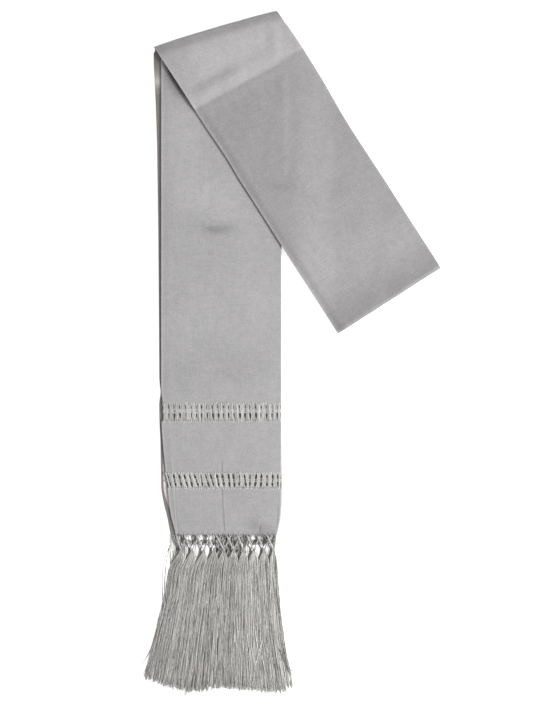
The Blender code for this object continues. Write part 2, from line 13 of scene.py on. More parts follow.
import bpy
import numpy as np
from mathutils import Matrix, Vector


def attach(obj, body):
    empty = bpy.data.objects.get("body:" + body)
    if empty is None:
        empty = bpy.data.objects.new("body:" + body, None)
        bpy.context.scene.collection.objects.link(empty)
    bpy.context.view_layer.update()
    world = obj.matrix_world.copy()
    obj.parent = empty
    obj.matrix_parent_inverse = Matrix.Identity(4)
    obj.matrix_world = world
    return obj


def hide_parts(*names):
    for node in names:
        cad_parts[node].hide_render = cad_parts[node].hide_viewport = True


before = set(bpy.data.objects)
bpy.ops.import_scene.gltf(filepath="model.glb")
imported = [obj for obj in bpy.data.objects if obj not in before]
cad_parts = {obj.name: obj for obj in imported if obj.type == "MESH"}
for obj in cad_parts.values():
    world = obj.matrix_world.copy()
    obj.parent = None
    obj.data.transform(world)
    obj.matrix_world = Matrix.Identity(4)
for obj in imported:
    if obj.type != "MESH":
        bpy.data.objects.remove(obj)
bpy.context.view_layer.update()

LOG = logging.getLogger("evening_stole")

MM = 0.001
BODY = "root"

# The photograph's height in pixels, and the place on the floor at its middle
FRAME_HEIGHT = 711
VIEW_MIDDLE = (-24.5, -4.0)

# Places and heights that the solids have
HEM_Y = -183.0
HEM_MIDDLE_X = -69.6
STOLE_WIDTH = 120.3
FOLD_MIDDLE = (-75.7, 322.2)
FOLD_LENGTH = 128.2
FOLD_BOW = 1.2
TURN_ANGLE = math.radians(57.3)
TURNED_LENGTH = 322.8
SQUARE_FROM = 95.0
FOLD_ANGLE = (math.radians(90.0) - TURN_ANGLE) / 2
FOLD_SLOPE = math.tan(FOLD_ANGLE)
UNDER_TOP = 2.2
FACE_BOTTOM = 2.5
FACE_TOP = 4.1
RISE = 4.4
TURNED_UNDER_TOP = 6.6
TURNED_BOTTOM = 6.9
TURNED_TOP = 8.5
UNDER_INSET = 0.8
FALL_START = HEM_MIDDLE_X + STOLE_WIDTH / 2 + 11.0
FALL_LENGTH = 46.0
FACE_STOP = 8.8
EDGE_DROP = 1.9
EDGE_REACH = 9.0
EDGE_START = 60.0
TURNED_STOP = 305.0
SLANT_LENGTH = 440.0
SLANT_START = 0.6
FOLD_OVER_HEM = FOLD_MIDDLE[1] - HEM_Y + (HEM_MIDDLE_X - FOLD_MIDDLE[0]) * FOLD_SLOPE


def eased(share: np.ndarray) -> np.ndarray:
    """Shares from 0 to 1, eased with level ends."""
    share = np.clip(share, 0.0, 1.0)
    return share * share * (3.0 - 2.0 * share)


def unit(vectors: np.ndarray) -> np.ndarray:
    """Vectors of length 1 along the last axis."""
    return vectors / np.maximum(np.linalg.norm(vectors, axis=-1, keepdims=True), 1e-9)


def refined(rows: np.ndarray, steps: int) -> np.ndarray:
    """Put a smooth curve through the rows of a table.

    Args:
        rows: one row for each point, any number of columns.
        steps: how many rows come out for each gap between two rows.

    Returns:
        The longer table, with the first and last row kept.
    """
    before = np.vstack([rows[:1], rows[:-2], rows[-3:-2]])[: len(rows) - 1]
    after = np.vstack([rows[2:], rows[-1:]])
    out = []
    for index in range(len(rows) - 1):
        first, second = rows[index], rows[index + 1]
        ahead = (second - before[index]) / 2 if index else second - first
        behind = (after[index] - first) / 2 if index < len(rows) - 2 else second - first
        for step in range(steps):
            t = step / steps
            out.append(
                (2 * t**3 - 3 * t**2 + 1) * first
                + (t**3 - 2 * t**2 + t) * ahead
                + (3 * t**2 - 2 * t**3) * second
                + (t**3 - t**2) * behind
            )
    out.append(rows[-1])
    return np.array(out)


# Soft marks on the cloth


@dataclass(frozen=True)
class Ripple:
    """Smooth unevenness, made of a few waves in random directions."""

    seed: int
    shortest: float
    longest: float
    strength: float
    waves: int = 9

    def at(self, x: np.ndarray, y: np.ndarray) -> np.ndarray:
        """Strength of the ripple at places on the floor plan.

        Args:
            x: places along X.
            y: places along Y.

        Returns:
            The strength at each place.
        """
        draws = np.random.default_rng(self.seed)
        total = np.zeros(np.shape(x))
        for _ in range(self.waves):
            angle, phase = draws.uniform(0.0, math.tau, 2)
            length = draws.uniform(self.shortest, self.longest)
            total += np.sin(math.tau * (x * math.cos(angle) + y * math.sin(angle)) / length + phase)
        return self.strength * total / math.sqrt(self.waves)


@dataclass(frozen=True)
class Stroke:
    """A soft line on the cloth that fades to both sides and at its ends."""

    points: tuple[tuple[float, float], ...]
    reach: float
    strength: float
    taper: float = 0.0

    def at(self, x: np.ndarray, y: np.ndarray) -> np.ndarray:
        """Strength of the line at places on the floor plan.

        Args:
            x: places along X.
            y: places along Y.

        Returns:
            The strength at each place.
        """
        near = np.full(np.shape(x), np.inf)
        ends = np.full(np.shape(x), 1.0)
        total = sum(math.dist(start, end) for start, end in zip(self.points, self.points[1:]))
        done = 0.0
        for (x0, y0), (x1, y1) in zip(self.points, self.points[1:]):
            across, up = x1 - x0, y1 - y0
            share = np.clip(((x - x0) * across + (y - y0) * up) / (across**2 + up**2), 0.0, 1.0)
            away = np.hypot(x - x0 - share * across, y - y0 - share * up)
            spot = (done + share * math.hypot(across, up)) / total
            if self.taper:
                ends = np.where(away < near, eased(np.minimum(spot, 1.0 - spot) / self.taper), ends)
            near = np.minimum(near, away)
            done += math.hypot(across, up)
        return self.strength * ends * (1.0 - eased(near / self.reach))


@dataclass(frozen=True)
class Shelf:
    """A soft step: full strength on the left of a line, none on its right."""

    start: tuple[float, float]
    end: tuple[float, float]
    softness: float
    strength: float

    def at(self, x: np.ndarray, y: np.ndarray) -> np.ndarray:
        """Strength of the step at places on the floor plan.

        Args:
            x: places along X.
            y: places along Y.

        Returns:
            The strength at each place.
        """
        across, up = self.end[0] - self.start[0], self.end[1] - self.start[1]
        beside = (across * (y - self.start[1]) - up * (x - self.start[0])) / math.hypot(across, up)
        return self.strength * eased(0.5 + beside / self.softness)


Mark = Ripple | Stroke | Shelf


def total_of(marks: tuple[Mark, ...], x: np.ndarray, y: np.ndarray) -> np.ndarray:
    """Sum of several marks at places on the floor plan."""
    return sum((mark.at(x, y) for mark in marks), np.zeros(np.shape(x)))


CENTRE_CREASE = ((-69.0, -106.0), (-68.6, -140.0), (-68.3, -152.0), (-67.3, -168.5), (-65.4, -184.0))
LEFT_CREASE = ((-119.3, -100.0), (-117.2, -138.0), (-115.0, -168.0), (-113.4, -186.0))
RIGHT_CREASE = ((-30.6, -171.0), (-31.4, -186.0))
HEM_ROOTS = tuple(-112.6 + 4.95 * index for index in range(20))


def beside(points: tuple[tuple[float, float], ...], shift: float) -> tuple[tuple[float, float], ...]:
    """The same line, moved along +X."""
    return tuple((x + shift, y) for x, y in points)


# Depths in millimetres, over 0 for a trough and under 0 for a ridge
STRAIGHT_RELIEF: tuple[Mark, ...] = (
    Stroke(CENTRE_CREASE, 1.6, 0.30, 0.1),
    Stroke(LEFT_CREASE, 1.8, -0.22, 0.1),
    Stroke(RIGHT_CREASE, 1.4, 0.30, 0.3),
    Stroke(((-92.0, -168.0), (-90.5, -190.0)), 3.0, 0.14, 0.3),
    Stroke(((-48.0, -172.0), (-47.0, -190.0)), 3.0, 0.12, 0.3),
    Stroke(((-101.5, -172.0), (-100.0, -190.0)), 2.6, 0.12, 0.3),
    Stroke(((-99.0, 125.0), (-76.0, 121.5), (-49.0, 128.0)), 7.0, 0.62, 0.4),
    Stroke(((-95.0, 132.5), (-74.0, 130.0), (-55.0, 135.0)), 6.0, -0.20, 0.3),
    Stroke(((-104.0, -30.0), (-40.0, -26.0)), 12.0, 0.25, 0.3),
    Stroke(((-118.0, 60.0), (-30.0, 48.0)), 16.0, -0.22, 0.3),
    Ripple(11, 34.0, 90.0, 0.10),
    Ripple(12, 11.0, 26.0, 0.03),
)
TURNED_RELIEF: tuple[Mark, ...] = (
    Stroke(((-92.5, 243.2), (-52.0, 267.3), (-11.0, 289.0)), 3.5, 0.24),
    Stroke(((-103.0, 252.0), (-97.6, 259.1), (-68.0, 275.8), (-46.0, 288.5)), 6.0, 0.20, 0.2),
    Stroke(((-96.0, 248.0), (-62.0, 272.0), (-20.0, 295.0)), 6.0, -0.14, 0.2),
    Stroke(((-24.0, 334.0), (-25.0, 290.0)), 7.0, 0.30, 0.3),
    Stroke(((-15.5, 331.0), (-15.0, 287.0)), 6.0, -0.30, 0.2),
    Stroke(((-8.0, 286.0), (-6.0, 230.0), (-6.5, 168.0)), 8.0, -0.28, 0.2),
    Stroke(((-38.0, 169.0), (-12.0, 165.0), (12.0, 167.0)), 8.0, 0.45, 0.3),
    Stroke(((60.0, 100.0), (112.0, 132.0)), 14.0, 0.22, 0.3),
    Stroke(((40.0, 34.0), (140.0, 96.0)), 10.0, 0.16, 0.2),
    Ripple(21, 30.0, 80.0, 0.10),
    Ripple(22, 11.0, 24.0, 0.03),
)

# Painted light and shade on the satin, as shares by which its colour is made lighter or darker, with a
# little random lightness
STRAIGHT_PAINTED_LIGHT_AND_TONE: tuple[Mark, ...] = (
    # Painted shade in the crosswise crease and in a trough of the relief, and a faint painted light streak
    Stroke(((-99.0, 125.0), (-76.0, 121.5), (-49.0, 128.0)), 8.5, -0.19, 0.45),
    Stroke(
        ((-108.0, 132.0), (-92.0, 127.0), (-74.0, 121.0), (-58.0, 122.0), (-50.0, 129.0)), 5.0, -0.12, 0.4
    ),
    Stroke(((-80.0, -20.0), (-66.0, -21.5), (-55.0, -27.5), (-47.0, -37.0)), 4.0, -0.11, 0.4),
    Stroke(((-84.0, 200.0), (-86.0, 150.0), (-84.0, 128.0)), 3.0, 0.05, 0.4),
    # Painted shade in the creases and beside the ridge near the hem, painted light on the ridge and beside
    # the middle crease, and painted shade near the hem's right end
    Stroke(CENTRE_CREASE, 1.1, -0.42, 0.1),
    Stroke(beside(CENTRE_CREASE, 1.5), 1.2, 0.14, 0.1),
    Stroke(LEFT_CREASE, 1.2, 0.16, 0.1),
    Stroke(beside(LEFT_CREASE[1:], 1.4), 1.2, -0.20, 0.2),
    Stroke(RIGHT_CREASE, 1.1, -0.40, 0.3),
    Stroke(((-37.0, -173.0), (-16.0, -184.0)), 12.0, -0.17),
    Stroke(((-12.5, -152.0), (-13.5, -180.0)), 1.4, -0.30, 0.3),
    # Painted shade in short creases at the hem, one at each root of the fringe's legs
    *(Stroke(((x, -181.3), (x + 0.4, -186.0)), 1.3, -0.34) for x in HEM_ROOTS),
    # Painted shadow cast by the turned run's left edge on the straight run
    Stroke(((-127.5, 289.5), (-116.5, 271.5), (-102.0, 249.0)), 13.0, -0.46, 0.35),
    Stroke(((-131.0, 295.0), (-116.5, 271.5), (-92.0, 234.0)), 4.5, -0.38, 0.2),
    # Broad painted light and shade of the satin's sheen, and a little random lightness
    Stroke(((-110.0, 40.0), (-30.0, 62.0)), 46.0, 0.05),
    Stroke(((-108.0, 232.0), (-96.0, 160.0), (-70.0, 150.0)), 40.0, 0.12),
    Stroke(((-110.0, -18.0), (-40.0, -16.0)), 26.0, -0.05),
    Shelf((-200.0, -110.0), (0.0, -110.0), 40.0, 0.03),
    Ripple(31, 22.0, 70.0, 0.02),
)
TURNED_PAINTED_LIGHT_AND_TONE: tuple[Mark, ...] = (
    # Painted light on the band between the crease and the top fold, and painted shade along the crease and
    # the streak below it
    Shelf((-89.2, 244.2), (-14.7, 286.2), 2.4, 0.40),
    Stroke(((-88.0, 238.0), (-50.0, 259.0), (-10.0, 281.0)), 7.0, 0.07),
    Stroke(((-103.0, 252.0), (-97.6, 259.1), (-68.0, 275.8), (-48.0, 287.0)), 8.5, -0.30, 0.3),
    Stroke(((-62.0, 279.0), (-20.0, 302.0)), 6.0, -0.08, 0.3),
    # Painted shade along the top fold, with a painted highlight on the fold itself
    Shelf((-140.0, 292.2), (-11.0, 331.4), 7.0, -0.24),
    Shelf((-140.0, 289.6), (-11.0, 328.8), 24.0, -0.14),
    Stroke(((-137.4, 303.5), (-14.0, 341.0)), 5.0, 0.20),
    # Painted shade near both ends of the top fold and in troughs, painted light on a ridge and broad
    # patches, and a little random lightness
    Stroke(((-130.0, 298.0), (-113.0, 286.0), (-104.0, 270.0)), 20.0, -0.14),
    Stroke(((-12.0, 338.0), (-2.0, 322.0), (6.0, 306.0)), 13.0, -0.17),
    Stroke(((-24.0, 334.0), (-25.0, 290.0)), 5.0, -0.08, 0.3),
    Stroke(((-40.0, 169.0), (-12.0, 165.0), (14.0, 167.0)), 10.0, -0.08, 0.3),
    Stroke(((-6.0, 284.0), (-6.0, 168.0)), 6.0, 0.06, 0.2),
    Stroke(((30.0, 90.0), (100.0, 110.0)), 40.0, 0.07),
    Ripple(41, 22.0, 70.0, 0.02),
)


# Stretches of cloth


@dataclass(frozen=True)
class Run:
    """A stretch of the stole with its own directions on the floor plan.

    The angle turns its axis from +X, and hand is 1 where its right side lies to the left of the axis.
    """

    origin: tuple[float, float]
    angle: float
    hand: float

    @property
    def axis(self) -> np.ndarray:
        """Direction of the stretch."""
        return np.array((math.cos(self.angle), math.sin(self.angle), 0.0))

    @property
    def across(self) -> np.ndarray:
        """Direction from its left to its right side."""
        return self.hand * np.array((-math.sin(self.angle), math.cos(self.angle), 0.0))

    def at(self, along: np.ndarray, side: np.ndarray, height: np.ndarray) -> np.ndarray:
        """Points of the stretch.

        Args:
            along: distances along it.
            side: distances to its side.
            height: heights over the floor.

        Returns:
            A point for each.
        """
        along, side, height = np.broadcast_arrays(along, side, height)
        base = np.array((self.origin[0], self.origin[1], 0.0))
        up = np.array((0.0, 0.0, 1.0))
        return base + along[..., None] * self.axis + side[..., None] * self.across + height[..., None] * up


STRAIGHT = Run((HEM_MIDDLE_X, HEM_Y), math.radians(90.0), -1.0)
TURNED = Run(FOLD_MIDDLE, -TURN_ANGLE, 1.0)


@dataclass(frozen=True)
class Sides:
    """Left and right side of a stretch at distances along it."""

    rows: tuple[tuple[float, float, float], ...]
    blend: float = 5.0

    def at(self, along: np.ndarray) -> tuple[np.ndarray, np.ndarray]:
        """Left and right side, with the corners of the rows eased.

        Args:
            along: distances along the stretch.

        Returns:
            The left sides, and the right sides.
        """
        table = np.array(self.rows)
        spots = [along + self.blend * step for step in (-1.0, -0.5, 0.0, 0.5, 1.0)]
        left = np.mean([np.interp(spot, table[:, 0], table[:, 1]) for spot in spots], axis=0)
        right = np.mean([np.interp(spot, table[:, 0], table[:, 2]) for spot in spots], axis=0)
        return left, right


FACE_SIDES = Sides(
    (
        (0.0, -45.6, 55.4),
        (6.5, -46.9, 57.0),
        (17.0, -50.0, 59.2),
        (31.0, -52.2, 60.1),
        (45.5, -53.7, 60.1),
        (61.0, -55.6, 60.1),
        (80.0, -57.4, 60.1),
        (96.0, -58.8, 60.1),
        (112.0, -59.8, 60.1),
        (132.0, -58.3, 60.1),
        (142.0, -60.0, 60.1),
        (153.0, -60.1, 60.1),
        (500.0, -60.1, 60.1),
    ),
    3.0,
)
UNDER_SIDES = Sides(
    (
        (0.0, -50.4, 55.9),
        (6.5, -51.9, 57.4),
        (17.0, -53.8, 59.7),
        (31.0, -57.4, 60.7),
        (45.5, -60.0, 60.7),
        (61.0, -60.2, 60.6),
        (80.0, -60.6, 60.5),
        (96.0, -60.9, 60.4),
        (112.0, -61.8, 60.3),
        (132.0, -62.1, 60.2),
        (142.0, -60.4, 60.2),
        (153.0, -61.9, 60.2),
        (230.0, -62.4, 60.2),
        (304.0, -63.0, 60.2),
        (395.0, -64.2, 60.2),
        (440.0, -65.6, 59.6),
    ),
    3.0,
)
TURNED_SIDES = Sides(
    (
        (28.0, -61.3, 62.2),
        (42.0, -61.2, 62.6),
        (56.0, -61.2, 62.8),
        (72.0, -61.4, 62.8),
        (92.0, -60.9, 62.7),
        (104.0, -60.6, 62.6),
        (118.0, -60.4, 61.8),
        (140.0, -61.4, 60.7),
        (160.0, -61.3, 60.3),
        (190.0, -61.3, 60.6),
        (220.0, -61.5, 60.9),
        (262.0, -61.3, 60.8),
        (290.0, -61.1, 60.9),
    )
)

# Sections round a fold: outer point inside the fold and its height, inner point, and the turn of the row
FACE_TOP_FOLD = (
    (0.3, 2.5, 1.95, 2.5, 0.4),
    (0.0, 3.4, 1.75, 3.4, 0.4),
    (0.0, 4.2, 1.7, 4.2, 0.5),
    (0.5, 5.8, 2.0, 5.2, 0.7),
    (2.0, 7.2, 3.0, 6.05, 1.0),
    (4.6, 8.1, 5.0, 6.7, 1.0),
    (8.5, 8.5, 8.5, 6.9, 1.0),
    (14.0, 8.5, 14.0, 6.9, 1.0),
)
UNDER_TOP_FOLD = (
    (14.0, 0.0, 14.0, 2.2, 0.0),
    (2.0, 0.0, 9.0, 2.2, 0.0),
    (0.8, 0.4, 7.2, 2.25, 0.0),
    (0.4, 1.2, 6.6, 2.4, 0.1),
    (0.9, 2.0, 6.2, 2.6, 0.2),
    (2.4, 2.2, 5.9, 2.9, 0.3),
    (2.4, 4.2, 5.8, 3.4, 0.5),
    (3.1, 5.5, 6.1, 3.9, 0.8),
    (4.8, 6.2, 6.8, 4.25, 1.0),
    (8.0, 6.5, 8.4, 4.4, 1.0),
    (14.0, 6.6, 14.0, 4.4, 1.0),
)
FACE_END_FOLD = (
    (9.0, 8.5, 9.0, 6.9, 1.0),
    (5.0, 8.45, 5.0, 6.9, 1.0),
    (2.6, 8.1, 3.4, 6.85, 1.0),
    (0.9, 7.4, 2.4, 6.55, 1.0),
    (0.1, 6.4, 1.9, 6.0, 1.0),
    (0.1, 5.4, 1.8, 5.3, 1.0),
    (0.5, 4.4, 1.9, 4.4, 1.0),
)
UNDER_END_FOLD = (
    (9.0, 6.6, 9.0, 4.4, 1.0),
    (5.0, 6.55, 5.0, 4.4, 1.0),
    (3.7, 6.3, 3.7, 4.4, 1.0),
    (2.7, 5.9, 2.7, 4.4, 1.0),
    (2.3, 5.3, 2.3, 4.4, 1.0),
)


@dataclass
class Stations:
    """Sections of a cloth wall: for each, the ends of its outer and inner sides, and the bow of both."""

    corners: np.ndarray
    bow: np.ndarray

    def __add__(self, other: "Stations") -> "Stations":
        """These sections, and then the others."""
        return Stations(np.vstack([self.corners, other.corners]), np.vstack([self.bow, other.bow]))

    def steps_to(self, other: "Stations", count: int) -> "Stations":
        """Even steps from the last of these sections to the first of the others.

        Args:
            other: the others.
            count: how many steps lie between.

        Returns:
            The sections between.
        """
        share = np.linspace(0.0, 1.0, count + 2)[1:-1, None, None]
        corners = self.corners[-1:] * (1 - share) + other.corners[:1] * share
        bow = self.bow[-1:] * (1 - share[:, 0]) + other.bow[:1] * share[:, 0]
        return Stations(corners, bow)

    def thinned(self, thickness: np.ndarray) -> "Stations":
        """The same sections, with their outer side brought down.

        Args:
            thickness: for each section, the share of its thickness that is left.

        Returns:
            The thinner sections.
        """
        corners = self.corners.copy()
        corners[:, :2] = corners[:, 2:] + (corners[:, :2] - corners[:, 2:]) * thickness[:, None, None]
        return Stations(corners, self.bow)


def face_sides_at(along: float) -> list[float]:
    """Left and right side of the straight face at one distance over the hem."""
    return [float(side[0]) for side in FACE_SIDES.at(np.array([along]))]


def straight_slant(along: np.ndarray) -> np.ndarray:
    """Slant of the straight run's sections, which grows towards the top fold."""
    return eased(along / SLANT_LENGTH - SLANT_START)


def flat_stations(
    run: Run,
    along: np.ndarray,
    sides: Sides,
    heights: tuple[float, float],
    slant: np.ndarray,
    inset: float = 0.0,
) -> Stations:
    """Sections of a stretch that lies flat.

    Args:
        run: the stretch.
        along: distances along it.
        sides: its left and right side.
        heights: heights of its outer and inner side.
        slant: for each section, 1 where it lies along the top fold and 0 where it is square to the stretch.
        inset: how far both sides are brought in.

    Returns:
        The sections, one for each distance.
    """
    left, right = sides.at(along)
    left = left + inset
    right = right - inset
    corners = np.stack(
        [
            run.at(along + slant * FOLD_SLOPE * side, side, height)
            for height in heights
            for side in (left, right)
        ],
        axis=1,
    )
    bow = -run.hand * run.axis[None, :] * FOLD_BOW * slant[:, None]
    return Stations(corners, bow)


def top_fold_stations(table: tuple[tuple[float, ...], ...], steps: int) -> Stations:
    """Sections round the top fold, each along the fold line.

    Args:
        table: rows of outer distance and height, inner distance and height, and turn.
        steps: how many sections come out for each row.

    Returns:
        The sections.
    """
    rows = refined(np.array(table), steps)
    direction = np.array((math.cos(FOLD_ANGLE), math.sin(FOLD_ANGLE), 0.0))
    half = direction * FOLD_LENGTH / 2
    middle = np.array((*FOLD_MIDDLE, 0.0))
    up = np.array((0.0, 0.0, 1.0))
    turn = rows[:, 4:5]
    inward = (turn * TURNED.axis - (1.0 - turn) * STRAIGHT.axis) / math.cos(FOLD_ANGLE)
    outer = middle + inward * rows[:, 0:1] + up * rows[:, 1:2]
    inner = middle + inward * rows[:, 2:3] + up * rows[:, 3:4]
    bow = np.tile(np.array((-direction[1], direction[0], 0.0)) * FOLD_BOW, (len(rows), 1))
    return Stations(np.stack([outer - half, outer + half, inner - half, inner + half], axis=1), bow)


def end_fold_stations(table: tuple[tuple[float, ...], ...], steps: int, inset: float = 0.0) -> Stations:
    """Sections round the end fold, square to the turned run.

    Args:
        table: rows as for the top fold, with distances from the end fold.
        steps: how many sections come out for each row.
        inset: how far both sides are brought in.

    Returns:
        The sections.
    """
    rows = refined(np.array(table), steps)
    left, right = (side[0] for side in TURNED_SIDES.at(np.array([290.0])))
    corners = np.stack(
        [
            TURNED.at(TURNED_LENGTH - rows[:, place], np.array(side), rows[:, place + 1])
            for place in (0, 2)
            for side in (left + inset, right - inset)
        ],
        axis=1,
    )
    return Stations(corners, np.zeros((len(rows), 3)))


def settled(points: np.ndarray) -> np.ndarray:
    """Lower the turned run's points where it comes down beside the straight run.

    Args:
        points: the cloth's points.

    Returns:
        The points after that.
    """
    fall = RISE * eased((points[..., 0] - FALL_START) / FALL_LENGTH)
    share = eased((points[..., 2] - FACE_BOTTOM) / (RISE - FACE_BOTTOM))
    lowered = points.copy()
    lowered[..., 2] -= fall * share
    return lowered


def draped(points: np.ndarray, side: np.ndarray, along: np.ndarray) -> np.ndarray:
    """Bring the turned run's left edge down, since its plies lie closer together there.

    Args:
        points: the cloth's points.
        side: their distances from its middle line.
        along: their distances from the top fold.

    Returns:
        The points after that.
    """
    reach = (1.0 - eased((side + 61.0) / EDGE_REACH)) * eased((along - EDGE_START) / EDGE_REACH)
    share = np.clip((points[:, 2] - RISE) / (TURNED_BOTTOM - RISE), 0.0, 1.0)
    lowered = points.copy()
    lowered[:, 2] -= EDGE_DROP * reach * share
    return lowered


# Meshes


def made_object(
    name: str, points: np.ndarray, faces: list[tuple[int, ...]], marks: dict[str, np.ndarray]
) -> bpy.types.Object:
    """Make a smooth object from millimetre points.

    Args:
        name: the object's name.
        points: one row for each point.
        faces: point numbers of each face, all with the same turn.
        marks: point attributes by name, numbers or triples.

    Returns:
        The object, linked into the scene.
    """
    mesh = bpy.data.meshes.new(name)
    mesh.from_pydata((points * MM).tolist(), [], faces)
    for title, values in marks.items():
        kind, key = ("FLOAT", "value") if values.ndim == 1 else ("FLOAT_VECTOR", "vector")
        mesh.attributes.new(title, kind, "POINT").data.foreach_set(key, values.astype(np.float32).ravel())
    mesh.shade_smooth()
    made = bpy.data.objects.new(name, mesh)
    bpy.context.scene.collection.objects.link(made)
    return made


def turned_outward(points: np.ndarray, faces: np.ndarray) -> np.ndarray:
    """Turn quads over if the body that they bound would be inside out.

    Args:
        points: the body's points.
        faces: four point numbers for each quad.

    Returns:
        The quads, all with the right turn.
    """
    first, second, third, fourth = (points[faces[:, index]] for index in range(4))
    volume = np.einsum("ij,ij->i", first, np.cross(second, third)).sum()
    volume += np.einsum("ij,ij->i", first, np.cross(third, fourth)).sum()
    return faces if volume > 0.0 else faces[:, ::-1]


@dataclass(frozen=True)
class Plies:
    """Section of cloth doubled lengthwise: a rounded fold on the right and two open edges on the left."""

    thickness: float
    ply: float
    upper_back: float
    lower_back: float
    columns: int
    lip: float = 0.3
    lip_reach: float = 8.0
    # Painted highlight along the left edge of the upper ply, and how far its two parts reach
    rim_highlight: float = 0.0
    rim_highlight_reaches: tuple[float, float] = (2.4, 6.0)
    arc: int = 6
    extra: tuple[float, ...] = (0.004, 0.008, 0.013, 0.018, 0.024, 0.031, 0.04, 0.975, 0.988, 0.995)

    def template(self) -> np.ndarray:
        """Ring of a section, outer side first.

        Returns:
            Rows of share of the width, offset from it, and share through the wall.
        """
        shares = np.unique(np.concatenate([np.linspace(0.0, 1.0, self.columns), self.extra]))
        half = self.thickness / 2
        angles = np.linspace(math.pi / 2, -math.pi / 2, self.arc + 2)[1:-1]

        def side(radius: float) -> list[tuple[float, float, float]]:
            """Upper side, fold and lower side at a distance from the wall's middle.

            Args:
                radius: the distance.

            Returns:
                Rows of the ring.
            """
            rise = radius / self.thickness
            edge = 0.25
            upper = [(s, (self.upper_back + edge) * (1 - s) - half * s, 0.5 + rise) for s in shares]
            fold = [(1.0, radius * math.cos(a) - half, 0.5 + rise * math.sin(a)) for a in angles]
            lower = [(s, (self.lower_back + edge) * (1 - s) - half * s, 0.5 - rise) for s in shares[::-1]]
            return upper + fold + lower

        through = self.ply / self.thickness / 2
        ring = side(half)
        ring.append((0.0, self.lower_back, through))
        ring += side(half - self.ply)[::-1]
        ring.append((0.0, self.upper_back, 1.0 - through))
        return np.array(ring)

    def body(
        self, stations: Stations, relief: tuple[Mark, ...], painted_light_and_tone: tuple[Mark, ...], first: int
    ) -> tuple[np.ndarray, list[tuple[int, ...]], np.ndarray, np.ndarray]:
        """Closed length of doubled cloth through its stations.

        Args:
            stations: its sections.
            relief: troughs and ridges of the upper ply.
            painted_light_and_tone: painted light and shade, with a little random lightness, as shares.
            first: number of its first point.

        Returns:
            Points, faces, cloth coordinates, and tones that hold painted light and shade.
        """
        share, offset, through = self.template().T
        outer_left, outer_right, inner_left, inner_right = (stations.corners[:, i] for i in range(4))
        width = np.linalg.norm(outer_right - outer_left, axis=1)
        place = (share[None, :] + offset[None, :] / width[:, None])[..., None]
        outer = outer_left[:, None] * (1 - place) + outer_right[:, None] * place
        inner = inner_left[:, None] * (1 - place) + inner_right[:, None] * place
        bow = stations.bow[:, None] * 4 * place * (1 - place)
        up = unit(outer - inner)
        points = inner + (outer - inner) * through[None, :, None] + bow
        x, y = points[..., 0], points[..., 1]
        depth = total_of(relief, x, y)
        from_left = place[..., 0] * width[:, None]
        depth += self.lip * (1 - eased(from_left / self.lip_reach))
        upper = eased((through - 0.35) / 0.3)[None, :]
        points = points - up * (depth * upper)[..., None]
        middle = stations.corners[:, :2].mean(axis=1)
        steps = np.linalg.norm(np.diff(middle, axis=0), axis=1)
        along = np.concatenate([[0.0], np.cumsum(steps)])
        sideways = (place[..., 0] - 0.5) * width[:, None]
        lengthwise = np.broadcast_to(along[:, None], x.shape)
        cloth = np.stack([sideways, lengthwise, through + 0 * x], axis=-1)
        # Painted highlight along the left edge of the upper ply
        near, far = (1 - eased(from_left / reach) for reach in self.rim_highlight_reaches)
        rim_highlight = self.rim_highlight * (0.7 * near + 0.3 * far)
        tones = 1.0 + (total_of(painted_light_and_tone, x, y) + rim_highlight) * upper
        return self.closed(points, first) + (cloth.reshape(-1, 3), tones.ravel())

    @staticmethod
    def closed(points: np.ndarray, first: int) -> tuple[np.ndarray, list[tuple[int, ...]]]:
        """Tube through rings of points, with both ends closed between the sides.

        Args:
            points: rings, points, and x, y, z.
            first: number of the first point.

        Returns:
            Points and faces.
        """
        rows, ring = points.shape[:2]
        here = np.arange(rows - 1)[:, None] * ring + np.arange(ring)[None, :]
        there = np.arange(rows - 1)[:, None] * ring + (np.arange(ring)[None, :] + 1) % ring
        quads = np.stack([here, there, there + ring, here + ring], axis=-1).reshape(-1, 4)
        half = ring // 2 - 1
        index = np.arange(half - 1)
        partner = ring - 2 - index
        near = np.stack([index, partner, partner - 1, index + 1], axis=-1)
        far = near[:, ::-1] + (rows - 1) * ring
        flat = points.reshape(-1, 3)
        turned = turned_outward(flat, np.vstack([quads, near, far]))
        tips = np.array([(half - 1, half + 1, half), (ring - 2, 0, ring - 1)])
        flip = turned[0][0] != quads[0][0]
        ends = np.vstack([tips, tips[:, ::-1] + (rows - 1) * ring])
        ends = ends[:, ::-1] if flip else ends
        faces = [tuple(face) for face in (turned + first).tolist()]
        faces += [tuple(face) for face in (ends + first).tolist()]
        return flat, faces


def joined_cloth(
    name: str, plies: Plies, lengths: list[Stations], relief: tuple[Mark, ...], painted_light_and_tone: tuple[Mark, ...]
) -> bpy.types.Object:
    """One cloth object from lengths of doubled cloth.

    Args:
        name: the object's name.
        plies: the section of the cloth.
        lengths: stations of each length.
        relief: troughs and ridges.
        painted_light_and_tone: painted light and shade, with a little random lightness, as shares.

    Returns:
        The object.
    """
    points, faces, cloth, tones = [], [], [], []
    for stations in lengths:
        first = sum(len(part) for part in points)
        made = plies.body(stations, relief, painted_light_and_tone, first)
        points.append(made[0])
        faces += made[1]
        cloth.append(made[2])
        tones.append(made[3])
    marks = {"cloth": np.vstack(cloth), "painted_light_and_tone": np.concatenate(tones)}
    return made_object(name, np.vstack(points), faces, marks)


